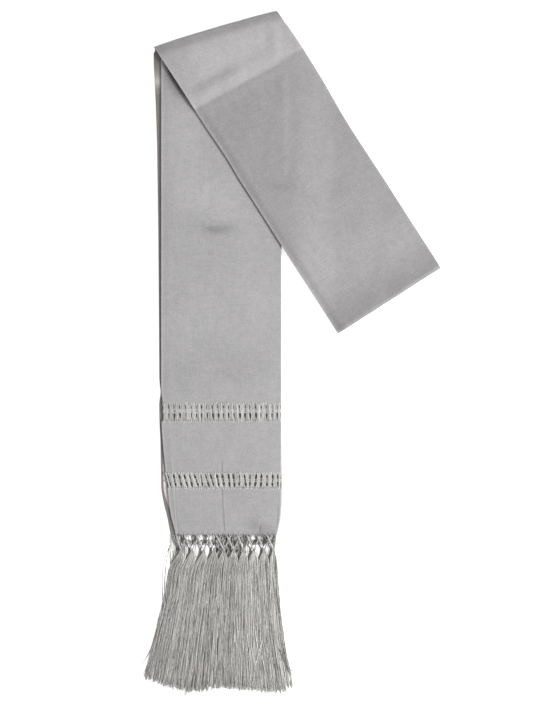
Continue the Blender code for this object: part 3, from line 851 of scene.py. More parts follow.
@dataclass
class Skein:
    """Fine threads that become one mesh of thin tubes."""

    sides: int = 3
    points: list[np.ndarray] = field(default_factory=list)
    faces: list[tuple[int, ...]] = field(default_factory=list)
    shades: list[np.ndarray] = field(default_factory=list)
    distances: list[np.ndarray] = field(default_factory=list)
    count: int = 0

    def add(self, paths: np.ndarray, radii: np.ndarray, shades: np.ndarray) -> None:
        """Add threads of equal point counts.

        Args:
            paths: threads, points, and x, y, z.
            radii: threads and points.
            shades: a number from 0, dark, to 1, light, for each thread.
        """
        threads, stations = paths.shape[:2]
        along = unit(np.gradient(paths, axis=1))
        up = np.array((0.0, 0.0, 1.0))
        beside = np.cross(along, up)
        flat = np.linalg.norm(beside, axis=-1, keepdims=True) < 1e-3
        beside = unit(np.where(flat, np.array((1.0, 0.0, 0.0)), beside))
        over = np.cross(beside, along)
        angles = math.tau * np.arange(self.sides) / self.sides + math.pi / 2
        round_ = beside[:, :, None] * np.cos(angles)[None, None, :, None]
        round_ = round_ + over[:, :, None] * np.sin(angles)[None, None, :, None]
        rings = paths[:, :, None] + round_ * radii[:, :, None, None]
        size = stations * self.sides
        start = self.count + np.arange(threads)[:, None, None] * size
        row = np.arange(stations - 1)[None, :, None] * self.sides
        here = np.arange(self.sides)[None, None, :]
        there = (here + 1) % self.sides
        near, far = start + row, start + row + self.sides
        quads = np.stack([near + here, near + there, far + there, far + here], axis=-1).reshape(-1, 4)
        caps = (start[:, 0] + np.arange(self.sides)[None, :]).reshape(-1, self.sides)
        tails = caps + size - self.sides
        flat_points = rings.reshape(-1, 3)
        turned = turned_outward(flat_points, quads - self.count)
        flip = turned[0][0] != quads[0][0] - self.count
        caps, tails = (caps, tails[:, ::-1]) if flip else (caps[:, ::-1], tails)
        for group in (turned + self.count, caps, tails):
            self.faces += [tuple(face) for face in group.tolist()]
        self.points.append(flat_points)
        self.shades.append(np.repeat(shades, size))
        lengths = np.linalg.norm(np.diff(paths, axis=1), axis=-1)
        distance = np.concatenate([np.zeros((threads, 1)), np.cumsum(lengths, axis=1)], axis=1)
        self.distances.append(np.repeat(distance, self.sides, axis=1).ravel())
        self.count += threads * size

    def add_one(self, path: np.ndarray, radius: float, shade: float) -> None:
        """Add one thread of even thickness."""
        self.add(path[None], np.full((1, len(path)), radius), np.array([shade]))

    def made(self, name: str) -> bpy.types.Object:
        """The threads as one object, with a shade and a distance at each point."""
        marks = {"shade": np.concatenate(self.shades), "along": np.concatenate(self.distances)}
        return made_object(name, np.vstack(self.points), self.faces, marks)


# Materials


class Wire:
    """An output of a node that takes part in sums, each of which adds a Math node."""

    def __init__(self, board: "Board", socket: bpy.types.NodeSocket) -> None:
        """Hold the socket and the board that its node is on."""
        self.board = board
        self.socket = socket

    def _math(self, operation: str, first: "Wire | float", second: "Wire | float") -> "Wire":
        """Result of a Math node."""
        return self.board.node("ShaderNodeMath", {"operation": operation}, {0: first, 1: second})

    def __add__(self, other: "Wire | float") -> "Wire":
        """Sum."""
        return self._math("ADD", self, other)

    __radd__ = __add__

    def __mul__(self, other: "Wire | float") -> "Wire":
        """Product."""
        return self._math("MULTIPLY", self, other)

    __rmul__ = __mul__

    def __sub__(self, other: "Wire | float") -> "Wire":
        """Difference."""
        return self._math("SUBTRACT", self, other)

    def __rsub__(self, other: "Wire | float") -> "Wire":
        """Difference the other way round."""
        return self._math("SUBTRACT", other, self)


class Board:
    """A material's nodes."""

    def __init__(self, name: str) -> None:
        """Start a material without nodes.

        Args:
            name: the material's name.
        """
        self.material = bpy.data.materials.new(name)
        self.material.use_nodes = True
        self.tree = self.material.node_tree
        self.tree.nodes.clear()

    def node(
        self,
        kind: str,
        settings: dict[str, object],
        sockets: dict[int | str, object],
        output: int | str = 0,
    ) -> Wire:
        """Add a node.

        Args:
            kind: the node's type.
            settings: its settings, set first.
            sockets: values or wires for its inputs.
            output: which of its outputs is wanted.

        Returns:
            That output.
        """
        made = self.tree.nodes.new(kind)
        for title, value in settings.items():
            setattr(made, title, value)
        for title, value in sockets.items():
            if isinstance(value, Wire):
                self.tree.links.new(value.socket, made.inputs[title])
            else:
                made.inputs[title].default_value = value
        return Wire(self, made.outputs[output] if made.outputs else None)

    def finished(self, shader: Wire) -> bpy.types.Material:
        """The material, with a shader as its surface."""
        self.node("ShaderNodeOutputMaterial", {}, {"Surface": shader})
        return self.material


Colour = tuple[float, float, float]


@dataclass(frozen=True)
class Satin:
    """Silk satin: fine streaks across and along the cloth, soft mottling, and a soft sheen."""

    name: str
    cool: Colour
    warm: Colour
    roughness: float = 0.42
    sheen: float = 0.12
    streaks: float = 0.17
    mottling: float = 0.14
    weave: float = 0.55
    across_scale: tuple[float, float, float] = (0.05, 0.85, 0.3)
    lengthwise_scale: tuple[float, float, float] = (1.1, 0.03, 0.3)
    mottle_scale: tuple[float, float, float] = (0.17, 0.17, 0.3)
    weave_scale: tuple[float, float, float] = (0.95, 0.80, 0.3)
    bump: float = 0.35
    depth: float = 0.25

    def material(self) -> bpy.types.Material:
        """Build the nodes.

        Returns:
            The material.
        """
        board = Board(self.name)
        cloth = board.node("ShaderNodeAttribute", {"attribute_name": "cloth"}, {}, "Vector")
        painted_light_and_tone = board.node("ShaderNodeAttribute", {"attribute_name": "painted_light_and_tone"}, {}, "Fac")

        def grain(scale: tuple[float, float, float], detail: float) -> Wire:
            """Noise on the cloth coordinates, with a scale for each of them."""
            spot = board.node("ShaderNodeVectorMath", {"operation": "MULTIPLY"}, {0: cloth, 1: scale})
            return board.node("ShaderNodeTexNoise", {}, {"Vector": spot, "Scale": 1.0, "Detail": detail})

        across = grain(self.across_scale, 3.0)
        lengthwise = grain(self.lengthwise_scale, 3.0)
        mottle = grain(self.mottle_scale, 4.0)
        weave = grain(self.weave_scale, 2.0)
        change = (across - 0.5) * self.streaks + (lengthwise - 0.5) * (self.streaks * 0.7)
        change = change + (mottle - 0.5) * self.mottling + (weave - 0.5) * self.weave
        # The painted_light_and_tone attribute paints light and shade into the colour
        value = painted_light_and_tone * (change + 1.0)
        hue = board.node(
            "ShaderNodeMix",
            {"data_type": "RGBA"},
            {"Factor": mottle, "A": (*self.cool, 1.0), "B": (*self.warm, 1.0)},
            2,
        )
        colour = board.node("ShaderNodeVectorMath", {"operation": "SCALE"}, {0: hue, "Scale": value})
        height = across * 0.45 + lengthwise * 0.35 + weave * 0.3 + mottle * 0.5
        bump = {"Strength": self.bump, "Distance": self.depth * MM, "Height": height}
        normal = board.node("ShaderNodeBump", {}, bump, "Normal")
        shader = board.node(
            "ShaderNodeBsdfPrincipled",
            {},
            {
                "Base Color": colour,
                "Roughness": mottle * 0.12 + (self.roughness - 0.06),
                "Specular IOR Level": 0.45,
                "Sheen Weight": self.sheen,
                "Sheen Roughness": 0.45,
                "Normal": normal,
            },
        )
        return board.finished(shader)


@dataclass(frozen=True)
class SilkThread:
    """Loose silk thread: each thread has its own shade, and each changes a little along its length."""

    name: str
    dark: Colour
    light: Colour
    roughness: float = 0.45
    slow_pitch: float = 0.09
    slow_change: float = 0.4
    quick_pitch: float = 0.4
    quick_change: float = 0.8

    def material(self) -> bpy.types.Material:
        """Build the nodes.

        Returns:
            The material.
        """
        board = Board(self.name)
        shade = board.node("ShaderNodeAttribute", {"attribute_name": "shade"}, {}, "Fac")
        along = board.node("ShaderNodeAttribute", {"attribute_name": "along"}, {}, "Fac")
        spot = board.node("ShaderNodeCombineXYZ", {}, {"X": along * self.slow_pitch, "Y": shade * 41.0})
        drift = board.node("ShaderNodeTexNoise", {}, {"Vector": spot, "Scale": 1.0, "Detail": 2.0})
        turn = board.node("ShaderNodeCombineXYZ", {}, {"X": along * self.quick_pitch, "Y": shade * 173.0})
        twist = board.node("ShaderNodeTexNoise", {}, {"Vector": turn, "Scale": 1.0, "Detail": 1.0})
        factor = shade + (drift - 0.5) * self.slow_change + (twist - 0.5) * self.quick_change
        colour = board.node(
            "ShaderNodeMix",
            {"data_type": "RGBA"},
            {"Factor": factor, "A": (*self.dark, 1.0), "B": (*self.light, 1.0)},
            2,
        )
        shader = board.node(
            "ShaderNodeBsdfPrincipled",
            {},
            {
                "Base Color": colour,
                "Roughness": drift * 0.2 + (self.roughness - 0.1),
                "Specular IOR Level": 0.5,
                "Sheen Weight": 0.1,
            },
        )
        return board.finished(shader)


@dataclass(frozen=True)
class FloorPaint:
    """Plain pale floor, softly lit from within as a light table is."""

    name: str
    colour: Colour
    glow: float = 0.6

    def material(self) -> bpy.types.Material:
        """Build the nodes.

        Returns:
            The material.
        """
        board = Board(self.name)
        spot = board.node("ShaderNodeTexCoord", {}, {}, "Object")
        cloud = board.node("ShaderNodeTexNoise", {}, {"Vector": spot, "Scale": 3.0, "Detail": 2.0})
        shader = board.node(
            "ShaderNodeBsdfPrincipled",
            {},
            {
                "Base Color": (*self.colour, 1.0),
                "Roughness": cloud * 0.04 + 0.9,
                "Specular IOR Level": 0.1,
                "Emission Color": (1.0, 1.0, 1.0, 1.0),
                "Emission Strength": self.glow,
            },
        )
        return board.finished(shader)


class Finish(Enum):
    """Finishes of the stole, some with painted shade or sheen, and the floor's paint."""

    # The straight and turned runs are the same silk satin; the turned run's is coloured darker to paint the
    # weaker sheen of its turned weave
    STRAIGHT = Satin("straight_satin", (0.272, 0.270, 0.275), (0.290, 0.281, 0.283))
    TURNED = Satin("turned_satin", (0.240, 0.237, 0.244), (0.255, 0.246, 0.249))
    # The under half is the same satin as the face, coloured darker and browner: painted shade, as it lies
    # under the face
    UNDER_PAINTED_SHADE = Satin("under_satin", (0.150, 0.138, 0.134), (0.172, 0.155, 0.150), 0.5)
    OPENWORK = SilkThread("openwork_silk", (0.34, 0.335, 0.335), (0.74, 0.73, 0.725))
    FRONT = SilkThread("front_fringe_silk", (0.070, 0.066, 0.062), (0.74, 0.725, 0.702))
    # The back fringe's darkest colour is darker than the front's, so that its deep threads paint the shade
    # in the net's hollows
    BACK = SilkThread("back_fringe_silk", (0.050, 0.046, 0.042), (0.72, 0.705, 0.680))
    FLOOR = FloorPaint("pale_floor", (0.93, 0.93, 0.93))


def dressed(
    piece: bpy.types.Object, finish: Finish, nodes: tuple[str, ...] = ()
) -> bpy.types.Object:
    """Give a piece its finish, its body and the solids that it stands for.

    Args:
        piece: the piece.
        finish: its finish.
        nodes: names of the solids that it replaces.

    Returns:
        The same piece.
    """
    piece.data.materials.append(finish.value.material())
    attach(piece, BODY)
    if nodes:
        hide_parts(*nodes)
    LOG.info("%s: %d points, %d faces", piece.name, len(piece.data.vertices), len(piece.data.polygons))
    return piece


# Sub-assemblies


@dataclass
class StraightCloth:
    """Face of the straight run, in three lengths that the openwork bands join."""

    band_edges: tuple[tuple[float, float], ...] = ((46.4, 61.6), (113.6, 130.8))
    plies: Plies = Plies(1.6, 0.45, 0.0, 0.5, 96, rim_highlight=0.26)
    step: float = 4.0
    slant_finish: float = 40.0
    cut_pinch: float = 0.05
    cut_reach: float = 1.6
    hem_left: float = 0.6
    hem_reach: float = 5.0

    def lengths(self) -> list[Stations]:
        """Stations of each length of cloth.

        Returns:
            The stations from the hem to the top fold.
        """
        stop = FOLD_OVER_HEM - FACE_STOP / math.cos(FOLD_ANGLE)
        cuts = [0.0] + [edge for band in self.band_edges for edge in band] + [stop]
        out = []
        for start, end in zip(cuts[::2], cuts[1::2]):
            count = int((end - start) / self.step) + 2
            along = np.linspace(start, end, count)
            ends = [start + 0.3, start + 1.2, end - 1.2, end - 0.3]
            along = np.unique(np.concatenate([along, ends]))
            late = eased((along - SLANT_LENGTH) / self.slant_finish)
            slant = np.maximum(straight_slant(along), late)
            stations = flat_stations(STRAIGHT, along, FACE_SIDES, (FACE_TOP, FACE_BOTTOM), slant)
            near = np.minimum(along - start, end - along)
            pinch = 1.0 - self.cut_pinch * (1.0 - eased(near / self.cut_reach))
            if start == 0.0:
                gathered = self.hem_left + (1.0 - self.hem_left) * eased(along / self.hem_reach)
                pinch = np.minimum(pinch, gathered)
            out.append(stations.thinned(pinch))
        return out

    def build(self) -> bpy.types.Object:
        """Make and dress the cloth."""
        cloth = joined_cloth("straight_cloth", self.plies, self.lengths(), STRAIGHT_RELIEF, STRAIGHT_PAINTED_LIGHT_AND_TONE)
        return dressed(cloth, Finish.STRAIGHT, ("straight_run",))


@dataclass(frozen=True)
class Band:
    """A band of openwork: its edges and binding over the hem, its lean and how open it is."""

    low: float
    high: float
    binding: float
    lean: float
    openness: float
    waist: float
    binding_shade: float
    wide_gaps: tuple[int, ...] = ()


@dataclass
class Openwork:
    """Threads of the two openwork bands: bundles drawn together, and the binding that holds them."""

    bands: tuple[Band, ...] = (
        Band(113.6, 130.8, 123.8, -0.8, 0.78, 0.15, 0.75),
        Band(46.4, 61.6, 54.4, -4.4, 1.1, 0.9, 0.4, (11, 12)),
    )
    pitch: float = 5.4
    first_gap: float = -52.0
    gaps: int = 21
    gap_jitter: float = 0.25
    lower_gap: float = 2.7
    upper_gap: float = 1.9
    pointedness: float = 1.6
    openings: tuple[float, float] = (0.6, 1.25)
    wide_opening: float = 2.6
    most_open: float = 0.47
    overlap: float = 1.0
    tilt: float = 0.9
    lean_stop: float = 40.0
    lean_reach: float = 60.0
    threads: int = 11
    radius: float = 0.34
    wrap_reach: float = 1.45
    wrap_radius: float = 0.24
    swing: float = 1.6
    stitch_pitch: float = 1.8
    stitch_length: tuple[float, float] = (1.4, 2.6)
    upper_stitch_shades: tuple[float, float] = (0.85, 1.0)
    lower_stitch_shades: tuple[float, float] = (0.35, 0.75)
    seed: int = 5

    def build(self) -> bpy.types.Object:
        """Make and dress the threads.

        Returns:
            The threads of both bands as one object.
        """
        draws = np.random.default_rng(self.seed)
        skein = Skein()
        for band in self.bands:
            self.bundles(skein, band, draws)
            self.binding(skein, band, draws)
            self.edge_stitches(skein, band, draws)
        return dressed(skein.made("openwork_threads"), Finish.OPENWORK)

    def bundles(self, skein: Skein, band: Band, draws: np.random.Generator) -> None:
        """Drawn bundles of one band, in the cloth's upper and lower ply.

        Args:
            skein: the threads made so far.
            band: the band.
            draws: the random draws.
        """
        left, right = face_sides_at(band.binding)
        gaps = self.first_gap + self.pitch * np.arange(self.gaps)
        gaps = gaps + draws.normal(0.0, self.gap_jitter, self.gaps)
        edges = np.concatenate([[left + 0.4], gaps, [right - 0.8]])
        steps = np.linspace(0.0, 1.0, 15)
        along = band.low - self.overlap + (band.high - band.low + 2 * self.overlap) * steps
        below = np.clip((along - band.low) / (band.binding - band.low), 0.0, 1.0)
        above = np.clip((band.high - along) / (band.high - band.binding), 0.0, 1.0)
        lower = np.sin(math.pi * below**1.3) ** self.pointedness
        upper = np.sin(math.pi * above**0.9) ** self.pointedness
        waist = eased((np.minimum(below, above) - 0.2) / 0.6) * band.waist
        draw_in = band.openness * draws.uniform(*self.openings, (len(edges), 2))
        tilts = draws.normal(0.0, self.tilt, len(edges))
        draw_in[[index + 1 for index in band.wide_gaps]] = self.wide_opening
        drawn = draw_in[:, :1] * self.lower_gap * lower + draw_in[:, 1:] * self.upper_gap * upper
        for ply_height, count in ((FACE_TOP - 0.25, self.threads), (FACE_BOTTOM + 0.4, self.threads - 3)):
            for index, (start, end) in enumerate(zip(edges, edges[1:])):
                middle = (start + end) / 2
                most = (end - start) * self.most_open
                share = (np.arange(count) + 0.5) / count
                place = share[:, None] + draws.normal(0.0, 0.03, (count, 1))
                inner_left = start + np.minimum(drawn[index] + waist, most) / 2
                inner_left = inner_left + tilts[index] * (steps - 0.5)
                inner_right = end - np.minimum(drawn[index + 1] + waist, most) / 2
                inner_right = inner_right + tilts[index + 1] * (steps - 0.5)
                lean = band.lean * (steps - 0.5) * eased((self.lean_stop - middle) / self.lean_reach)
                side = inner_left[None, :] * (1 - place) + inner_right[None, :] * place + lean[None, :]
                side = side + draws.normal(0.0, 0.05, side.shape)
                height = ply_height + 0.3 * np.minimum(below, above)[None, :] * (0.3 - (2 * place - 1) ** 2)
                paths = STRAIGHT.at(along[None, :] + 0 * side, side, height + 0 * side)
                radii = np.full(side.shape, self.radius * (count / self.threads) ** -0.5)
                skein.add(paths, radii, draws.uniform(0.0, 1.0, count) ** 1.4)

    def binding(self, skein: Skein, band: Band, draws: np.random.Generator) -> None:
        """Binding of one band: two threads that cross between the bundles, and turns round each bundle.

        Args:
            skein: the threads made so far.
            band: the band.
            draws: the random draws.
        """
        left, right = face_sides_at(band.binding)
        side = np.linspace(left + 0.4, right - 0.4, 23 * 8)
        phase = math.tau * (side - self.first_gap) / self.pitch
        for turn in (0.0, math.pi):
            drift = 0.5 * np.sin(side * 0.31 + turn) + 0.3 * np.sin(side * 0.83 + 2 * turn)
            along = band.binding + drift + self.swing * np.cos(phase / 2 + turn)
            height = FACE_TOP + 0.1 + 0.25 * np.sin(phase / 2 + turn)
            skein.add_one(STRAIGHT.at(along, side, height), self.radius, band.binding_shade)
        angle = np.linspace(0.0, math.tau * 2, 17)
        for index in range(self.gaps + 1):
            middle = self.first_gap + (index - 0.5) * self.pitch
            across = middle + self.wrap_reach * np.cos(angle)
            height = FACE_TOP - 0.55 + 0.5 * np.sin(angle)
            along = band.binding + (angle / math.tau - 1.0) * 0.9 + draws.normal(0.0, 0.4)
            shade = draws.uniform(0.1, 0.9)
            skein.add_one(STRAIGHT.at(along, across, height), self.wrap_radius, shade)

    def edge_stitches(self, skein: Skein, band: Band, draws: np.random.Generator) -> None:
        """Slanting stitches that hold the cloth along both edges of one band.

        Args:
            skein: the threads made so far.
            band: the band.
            draws: the random draws.
        """
        steps = np.linspace(0.0, 1.0, 5)
        upper = (band.high, 1.0, self.upper_stitch_shades)
        lower = (band.low, -1.0, self.lower_stitch_shades)
        for edge, out, shades in (upper, lower):
            left, right = face_sides_at(edge)
            for place in np.arange(left + 0.8, right - 1.6, self.stitch_pitch):
                along = edge + out * (draws.uniform(*self.stitch_length) * steps - 0.9)
                across = place + draws.normal(0.0, 0.25) + 0.9 * steps
                height = FACE_TOP + 0.1 + 0.25 * np.sin(math.pi * steps)
                skein.add_one(STRAIGHT.at(along, across, height), self.radius, draws.uniform(*shades))


@dataclass
class TurnedCloth:
    """Face of the turned run, round the top fold and down to the floor at the end fold."""

    plies: Plies = Plies(1.6, 0.45, 0.0, 0.5, 66, rim_highlight=0.12)
    start: float = 22.0
    step: float = 3.5
    # Painted shade before the end fold and a painted highlight on it: distance from the end fold where each
    # starts, its reach and its share
    end_fold_painted_shade_and_highlight: tuple[tuple[float, float, float], ...] = (
        (10.0, 34.0, -0.18),
        (7.0, 3.0, -0.07),
        (0.8, 2.0, 0.16),
    )
    # Painted highlight along the right side, and painted light along the left side where it comes down
    right_side: float = 59.0
    right_painted_highlight: float = 0.08
    left_side: float = -61.5
    left_reach: float = 12.0
    left_painted_light: float = 0.11

    def stations(self) -> Stations:
        """Sections from the straight run's side of the top fold to the floor at the end fold.

        Returns:
            The sections in order.
        """
        along = np.arange(self.start, TURNED_STOP, self.step)
        slant = 1.0 - eased(along / SQUARE_FROM)
        flat = flat_stations(TURNED, along, TURNED_SIDES, (TURNED_TOP, TURNED_BOTTOM), slant)
        return top_fold_stations(FACE_TOP_FOLD, 4) + flat + end_fold_stations(FACE_END_FOLD, 4)

    def painted_edge_light_and_shade(self, cloth: np.ndarray) -> np.ndarray:
        """Painted light and shade near the end fold and along both sides.

        Args:
            cloth: cloth coordinates, one row for each point.

        Returns:
            What is added to each point's painted light and shade.
        """
        from_end = cloth[:, 1].max() - cloth[:, 1]
        end = sum(painted_light_and_tone * (1 - eased((from_end - start) / reach)) for start, reach, painted_light_and_tone in self.end_fold_painted_shade_and_highlight)
        right = self.right_painted_highlight * (cloth[:, 0] > self.right_side)
        left = self.left_painted_light * (1 - eased((cloth[:, 0] - self.left_side) / self.left_reach))
        return end + right + left * eased((cloth[:, 1] - EDGE_START) / 30.0)

    def build(self) -> bpy.types.Object:
        """Make and dress the cloth.

        Returns:
            The cloth.
        """
        through = self.plies.template()[:, 2]
        stations = self.stations()
        points, faces, cloth, tones = self.plies.body(stations, TURNED_RELIEF, TURNED_PAINTED_LIGHT_AND_TONE, 0)
        upper = np.tile(through, len(stations.corners)) > 0.5
        tones = tones + upper * self.painted_edge_light_and_shade(cloth)
        points = settled(draped(points, cloth[:, 0], cloth[:, 1]))
        made = made_object("turned_cloth", points, faces, {"cloth": cloth, "painted_light_and_tone": tones})
        return dressed(made, Finish.TURNED, ("turned_run",))


@dataclass
class UnderCloth:
    """The other half of the stole, under the straight run, round the top fold and under the turned run."""

    plies: Plies = Plies(2.2, 0.6, 1.2, 0.0, 40)
    step: float = 7.0
    hem_step: float = 3.0
    hem_stretch: float = 150.0
    turned_start: float = 24.0
    # Painted light on the strip of the under half that shows beside the face, and a painted glint on it
    # near the top fold
    painted_strip_light: float = 3.0
    painted_glint: float = 1.5
    glint_y: float = 270.0
    glint_reach: float = 6.5

    def painted_strip_light_and_glint(self, points: np.ndarray, cloth: np.ndarray) -> np.ndarray:
        """Painted light on the strip that shows at the left of the face: near the hem, and a painted glint
        near the top.

        Args:
            points: the cloth's points.
            cloth: their cloth coordinates.

        Returns:
            What is added to each point's painted light.
        """
        near_hem = 1.0 - eased((cloth[:, 1] - 40.0) / 90.0)
        from_left = cloth[:, 0] - UNDER_SIDES.at(cloth[:, 1])[0]
        to_face = FACE_SIDES.at(cloth[:, 1])[0] - cloth[:, 0]
        strip = eased((from_left - 1.7) / 0.7) * eased((to_face - 0.6) / 1.2)
        glint = np.exp(-(((points[:, 1] - self.glint_y) / self.glint_reach) ** 2))
        return self.painted_strip_light * near_hem * strip + self.painted_glint * glint

    def build(self) -> bpy.types.Object:
        """Make and dress the cloth.

        Returns:
            The cloth.
        """
        near_hem = np.arange(0.0, self.hem_stretch, self.hem_step)
        along = np.concatenate([near_hem, np.arange(self.hem_stretch, SLANT_LENGTH + 1.0, self.step)])
        low = flat_stations(STRAIGHT, along, UNDER_SIDES, (0.0, UNDER_TOP), straight_slant(along))
        along = np.arange(self.turned_start, TURNED_STOP, self.step)
        slant = 1.0 - eased(along / SQUARE_FROM)
        heights = (TURNED_UNDER_TOP, RISE)
        high = flat_stations(TURNED, along, TURNED_SIDES, heights, slant, UNDER_INSET)
        fold = top_fold_stations(UNDER_TOP_FOLD, 3)
        low = low + low.steps_to(fold, 5)
        stations = low + fold + high + end_fold_stations(UNDER_END_FOLD, 2, UNDER_INSET)
        points, faces, cloth, tones = self.plies.body(stations, (), (), 0)
        through = self.plies.template()[:, 2]
        facing_up = np.tile(through, len(stations.corners)) < 0.5
        tones = tones + facing_up * self.painted_strip_light_and_glint(points, cloth)
        turned = len(low.corners) * len(through)
        points[turned:] = draped(points[turned:], cloth[turned:, 0], cloth[turned:, 1] - SLANT_LENGTH)
        made = made_object("under_cloth", settled(points), faces, {"cloth": cloth, "painted_light_and_tone": tones})
        return dressed(made, Finish.UNDER_PAINTED_SHADE, ("hidden_layers",))


@dataclass(frozen=True)
class Looseness:
    """How the loose threads of a tassel differ. Its shares are shares of the tassel's threads."""

    locks: tuple[int, int] = (16, 24)
    thread_place: float = 0.05
    lock_shade: float = 0.02
    contrast: float = 0.1
    right_contrast: float = 0.06
    right_from: float = 0.72
    dark_share: float = 0.08
    dark_factor: float = 0.4
    lock_end: float = 1.7
    thread_end: float = 1.8
    short_share: float = 0.06
    shortened: tuple[float, float] = (4.0, 34.0)
    lock_sway: tuple[float, float] = (0.1, 0.6)
    lock_wave: tuple[float, float] = (45.0, 110.0)
    thread_sway: tuple[float, float] = (0.1, 0.5)
    thread_wave: tuple[float, float] = (19.0, 44.0)
    ride: float = 0.25
    astray_share: float = 0.05
    astray: float = 6.0
    thickness: tuple[float, float] = (0.75, 1.2)


@dataclass
class Fringe:
    """One knotted fringe: hem stitches, net of legs, knots and loose threads."""

    name: str
    node: str
    finish: Finish
    strip: tuple[float, float]
    strip_height: float
    knot_height: float
    planes: tuple[float, float]
    spread: tuple[tuple[float, float, float], ...]
    seed: int
    shifts: tuple[float, ...]
    heads: tuple[float, ...]
    veil: tuple[tuple[float, float, float, float, float], ...] = ()
    strays: tuple[tuple[float | tuple[float, float], ...], ...] = ()
    edge_sag: float = 0.0
    # The legs that lie below the others take the darker shades, which paints the shade they lie in
    over_shades: tuple[float, float] = (0.65, 0.95)
    below_shades: tuple[float, float] = (0.4, 0.75)
    knot_shades: tuple[float, float] = (0.3, 0.6)
    shade: float = 0.555
    threads_per_knot: int = 96
    knot_down: float = 14.0
    knot_length: float = 3.4
    knot_reach: float = 1.35
    knot_rise: float = 0.72
    knot_turns_radius: float = 0.36
    stitch_pitch: float = 1.9
    stitch_radius: float = 0.3
    leg_strands: int = 5
    leg_spread: float = 0.62
    leg_rise: float = 0.36
    leg_radius: float = 0.28
    veil_pitch: float = 0.45
    veil_radius: float = 0.34
    stray_radius: float = 0.44
    neck: float = 1.2
    fan: float = 9.0
    opening: float = 20.0
    radius: float = 0.32
    loose: Looseness = Looseness()
    ends: tuple[tuple[float, float], ...] = (
        (0.0, 141.0),
        (0.075, 147.0),
        (0.2, 153.0),
        (0.32, 157.0),
        (0.41, 157.0),
        (0.455, 153.5),
        (0.6, 154.0),
        (0.77, 156.3),
        (0.925, 157.0),
        (1.0, 152.0),
    )

    def __post_init__(self) -> None:
        """Work out the knots and start the random draws."""
        self.draws = np.random.default_rng(self.seed)
        self.left = HEM_MIDDLE_X + self.strip[0]
        self.right = HEM_MIDDLE_X + self.strip[1]
        self.tassels = len(self.shifts)
        self.pitch = (self.right - self.left) / self.tassels
        self.knots = self.left + (np.arange(self.tassels) + 0.5) * self.pitch + np.array(self.shifts)
        between = (self.knots[1:] + self.knots[:-1]) / 2
        limits = np.concatenate([[self.left], between, [self.right]])
        self.limits = (limits - self.left) / (self.right - self.left)
        self.knot_y = HEM_Y - self.knot_down

    def sides_at(self, down: np.ndarray) -> tuple[np.ndarray, np.ndarray]:
        """Left and right limit of the fringe at distances below the hem."""
        table = np.array(self.spread)
        return np.interp(down, table[:, 0], table[:, 1]), np.interp(down, table[:, 0], table[:, 2])

    def build(self) -> list[bpy.types.Object]:
        """Make and dress the threads and the knots.

        Returns:
            The threads, and the knots.
        """
        threads = Skein()
        self.hem_stitches(threads)
        self.legs(threads)
        self.veil_threads(threads)
        self.tassel_threads(threads)
        self.stray_threads(threads)
        knots = Skein(sides=5)
        self.knot_turns(knots)
        slot = self.node + "_silk"
        return [
            dressed(threads.made(self.name + "_threads"), self.finish, (self.node,)),
            dressed(knots.made(self.name + "_knots"), self.finish),
        ]

    def hem_stitches(self, skein: Skein) -> None:
        """Small stitches over the hem, between which the legs come out.

        Args:
            skein: the threads made so far.
        """
        count = int((self.right - self.left) / self.stitch_pitch)
        places = np.linspace(self.left + 0.5, self.right - 0.5, count)
        steps = np.linspace(0.0, 1.0, 7)
        for place in places:
            x = place + self.draws.normal(0.0, 0.3) + 0.5 * steps
            y = HEM_Y + 0.9 - 2.5 * steps - self.draws.uniform(0.0, 0.9)
            z = self.strip_height + 0.75 * np.cos(math.pi * steps * 0.7)
            skein.add_one(np.stack([x, y, z], axis=-1), self.stitch_radius, self.draws.uniform(0.1, 0.7))

    def legs(self, skein: Skein) -> None:
        """Two twisted legs from the hem to each knot, which cross the legs of the next knots.

        Args:
            skein: the threads made so far.
        """
        steps = np.linspace(0.0, 1.0, 9)
        for knot in self.knots:
            # The leg from the right-hand root lies lower and takes the darker below_shades: painted shade
            for side, shades in ((-1.0, self.over_shades), (1.0, self.below_shades)):
                root = knot + side * self.pitch * self.draws.uniform(0.62, 0.82)
                root = min(max(root, self.left + 0.3), self.right - 0.3)
                middle_x = root + (knot + side * 0.5 - root) * steps
                y = HEM_Y + 0.4 + (self.knot_y - 0.4 - HEM_Y) * steps
                bulge = np.sin(math.pi * steps) * (0.1 - 0.35 * side)
                middle_z = self.strip_height + (self.knot_height - self.strip_height) * steps + bulge
                turn = math.tau * self.draws.uniform(0.7, 1.2) * steps + self.draws.uniform(0.0, math.tau)
                for strand in range(self.leg_strands):
                    angle = turn + math.tau * strand / self.leg_strands
                    x = middle_x + self.leg_spread * np.cos(angle)
                    z = middle_z + self.leg_rise * np.sin(angle)
                    path = np.stack([x, y, z], axis=-1)
                    skein.add_one(path, self.leg_radius, self.draws.uniform(*shades))

    def veil_threads(self, skein: Skein) -> None:
        """Threads that lie deep behind the net: the darkest are dark threads that paint the shade in the
        net's hollows, and the lighter ones fill its slits. Rows: left, right, start, end and shade.

        Args:
            skein: the threads made so far.
        """
        steps = np.linspace(0.0, 1.0, 4)
        for left, right, start, end, shade in self.veil:
            count = max(int((right - left) / self.veil_pitch), 2)
            x = np.linspace(left, right, count)[:, None] + self.draws.normal(0.0, 0.5, (count, 4))
            length = end - start + self.draws.normal(0.0, 0.8, (count, 1))
            y = HEM_Y + 0.5 - start - length * steps[None, :]
            z = self.draws.uniform(0.45, 0.9, (count, 1)) + 0 * x
            shades = shade * self.draws.uniform(0.4, 1.4, count)
            skein.add(np.stack([x, y, z], axis=-1), np.full((count, 4), self.veil_radius), shades)

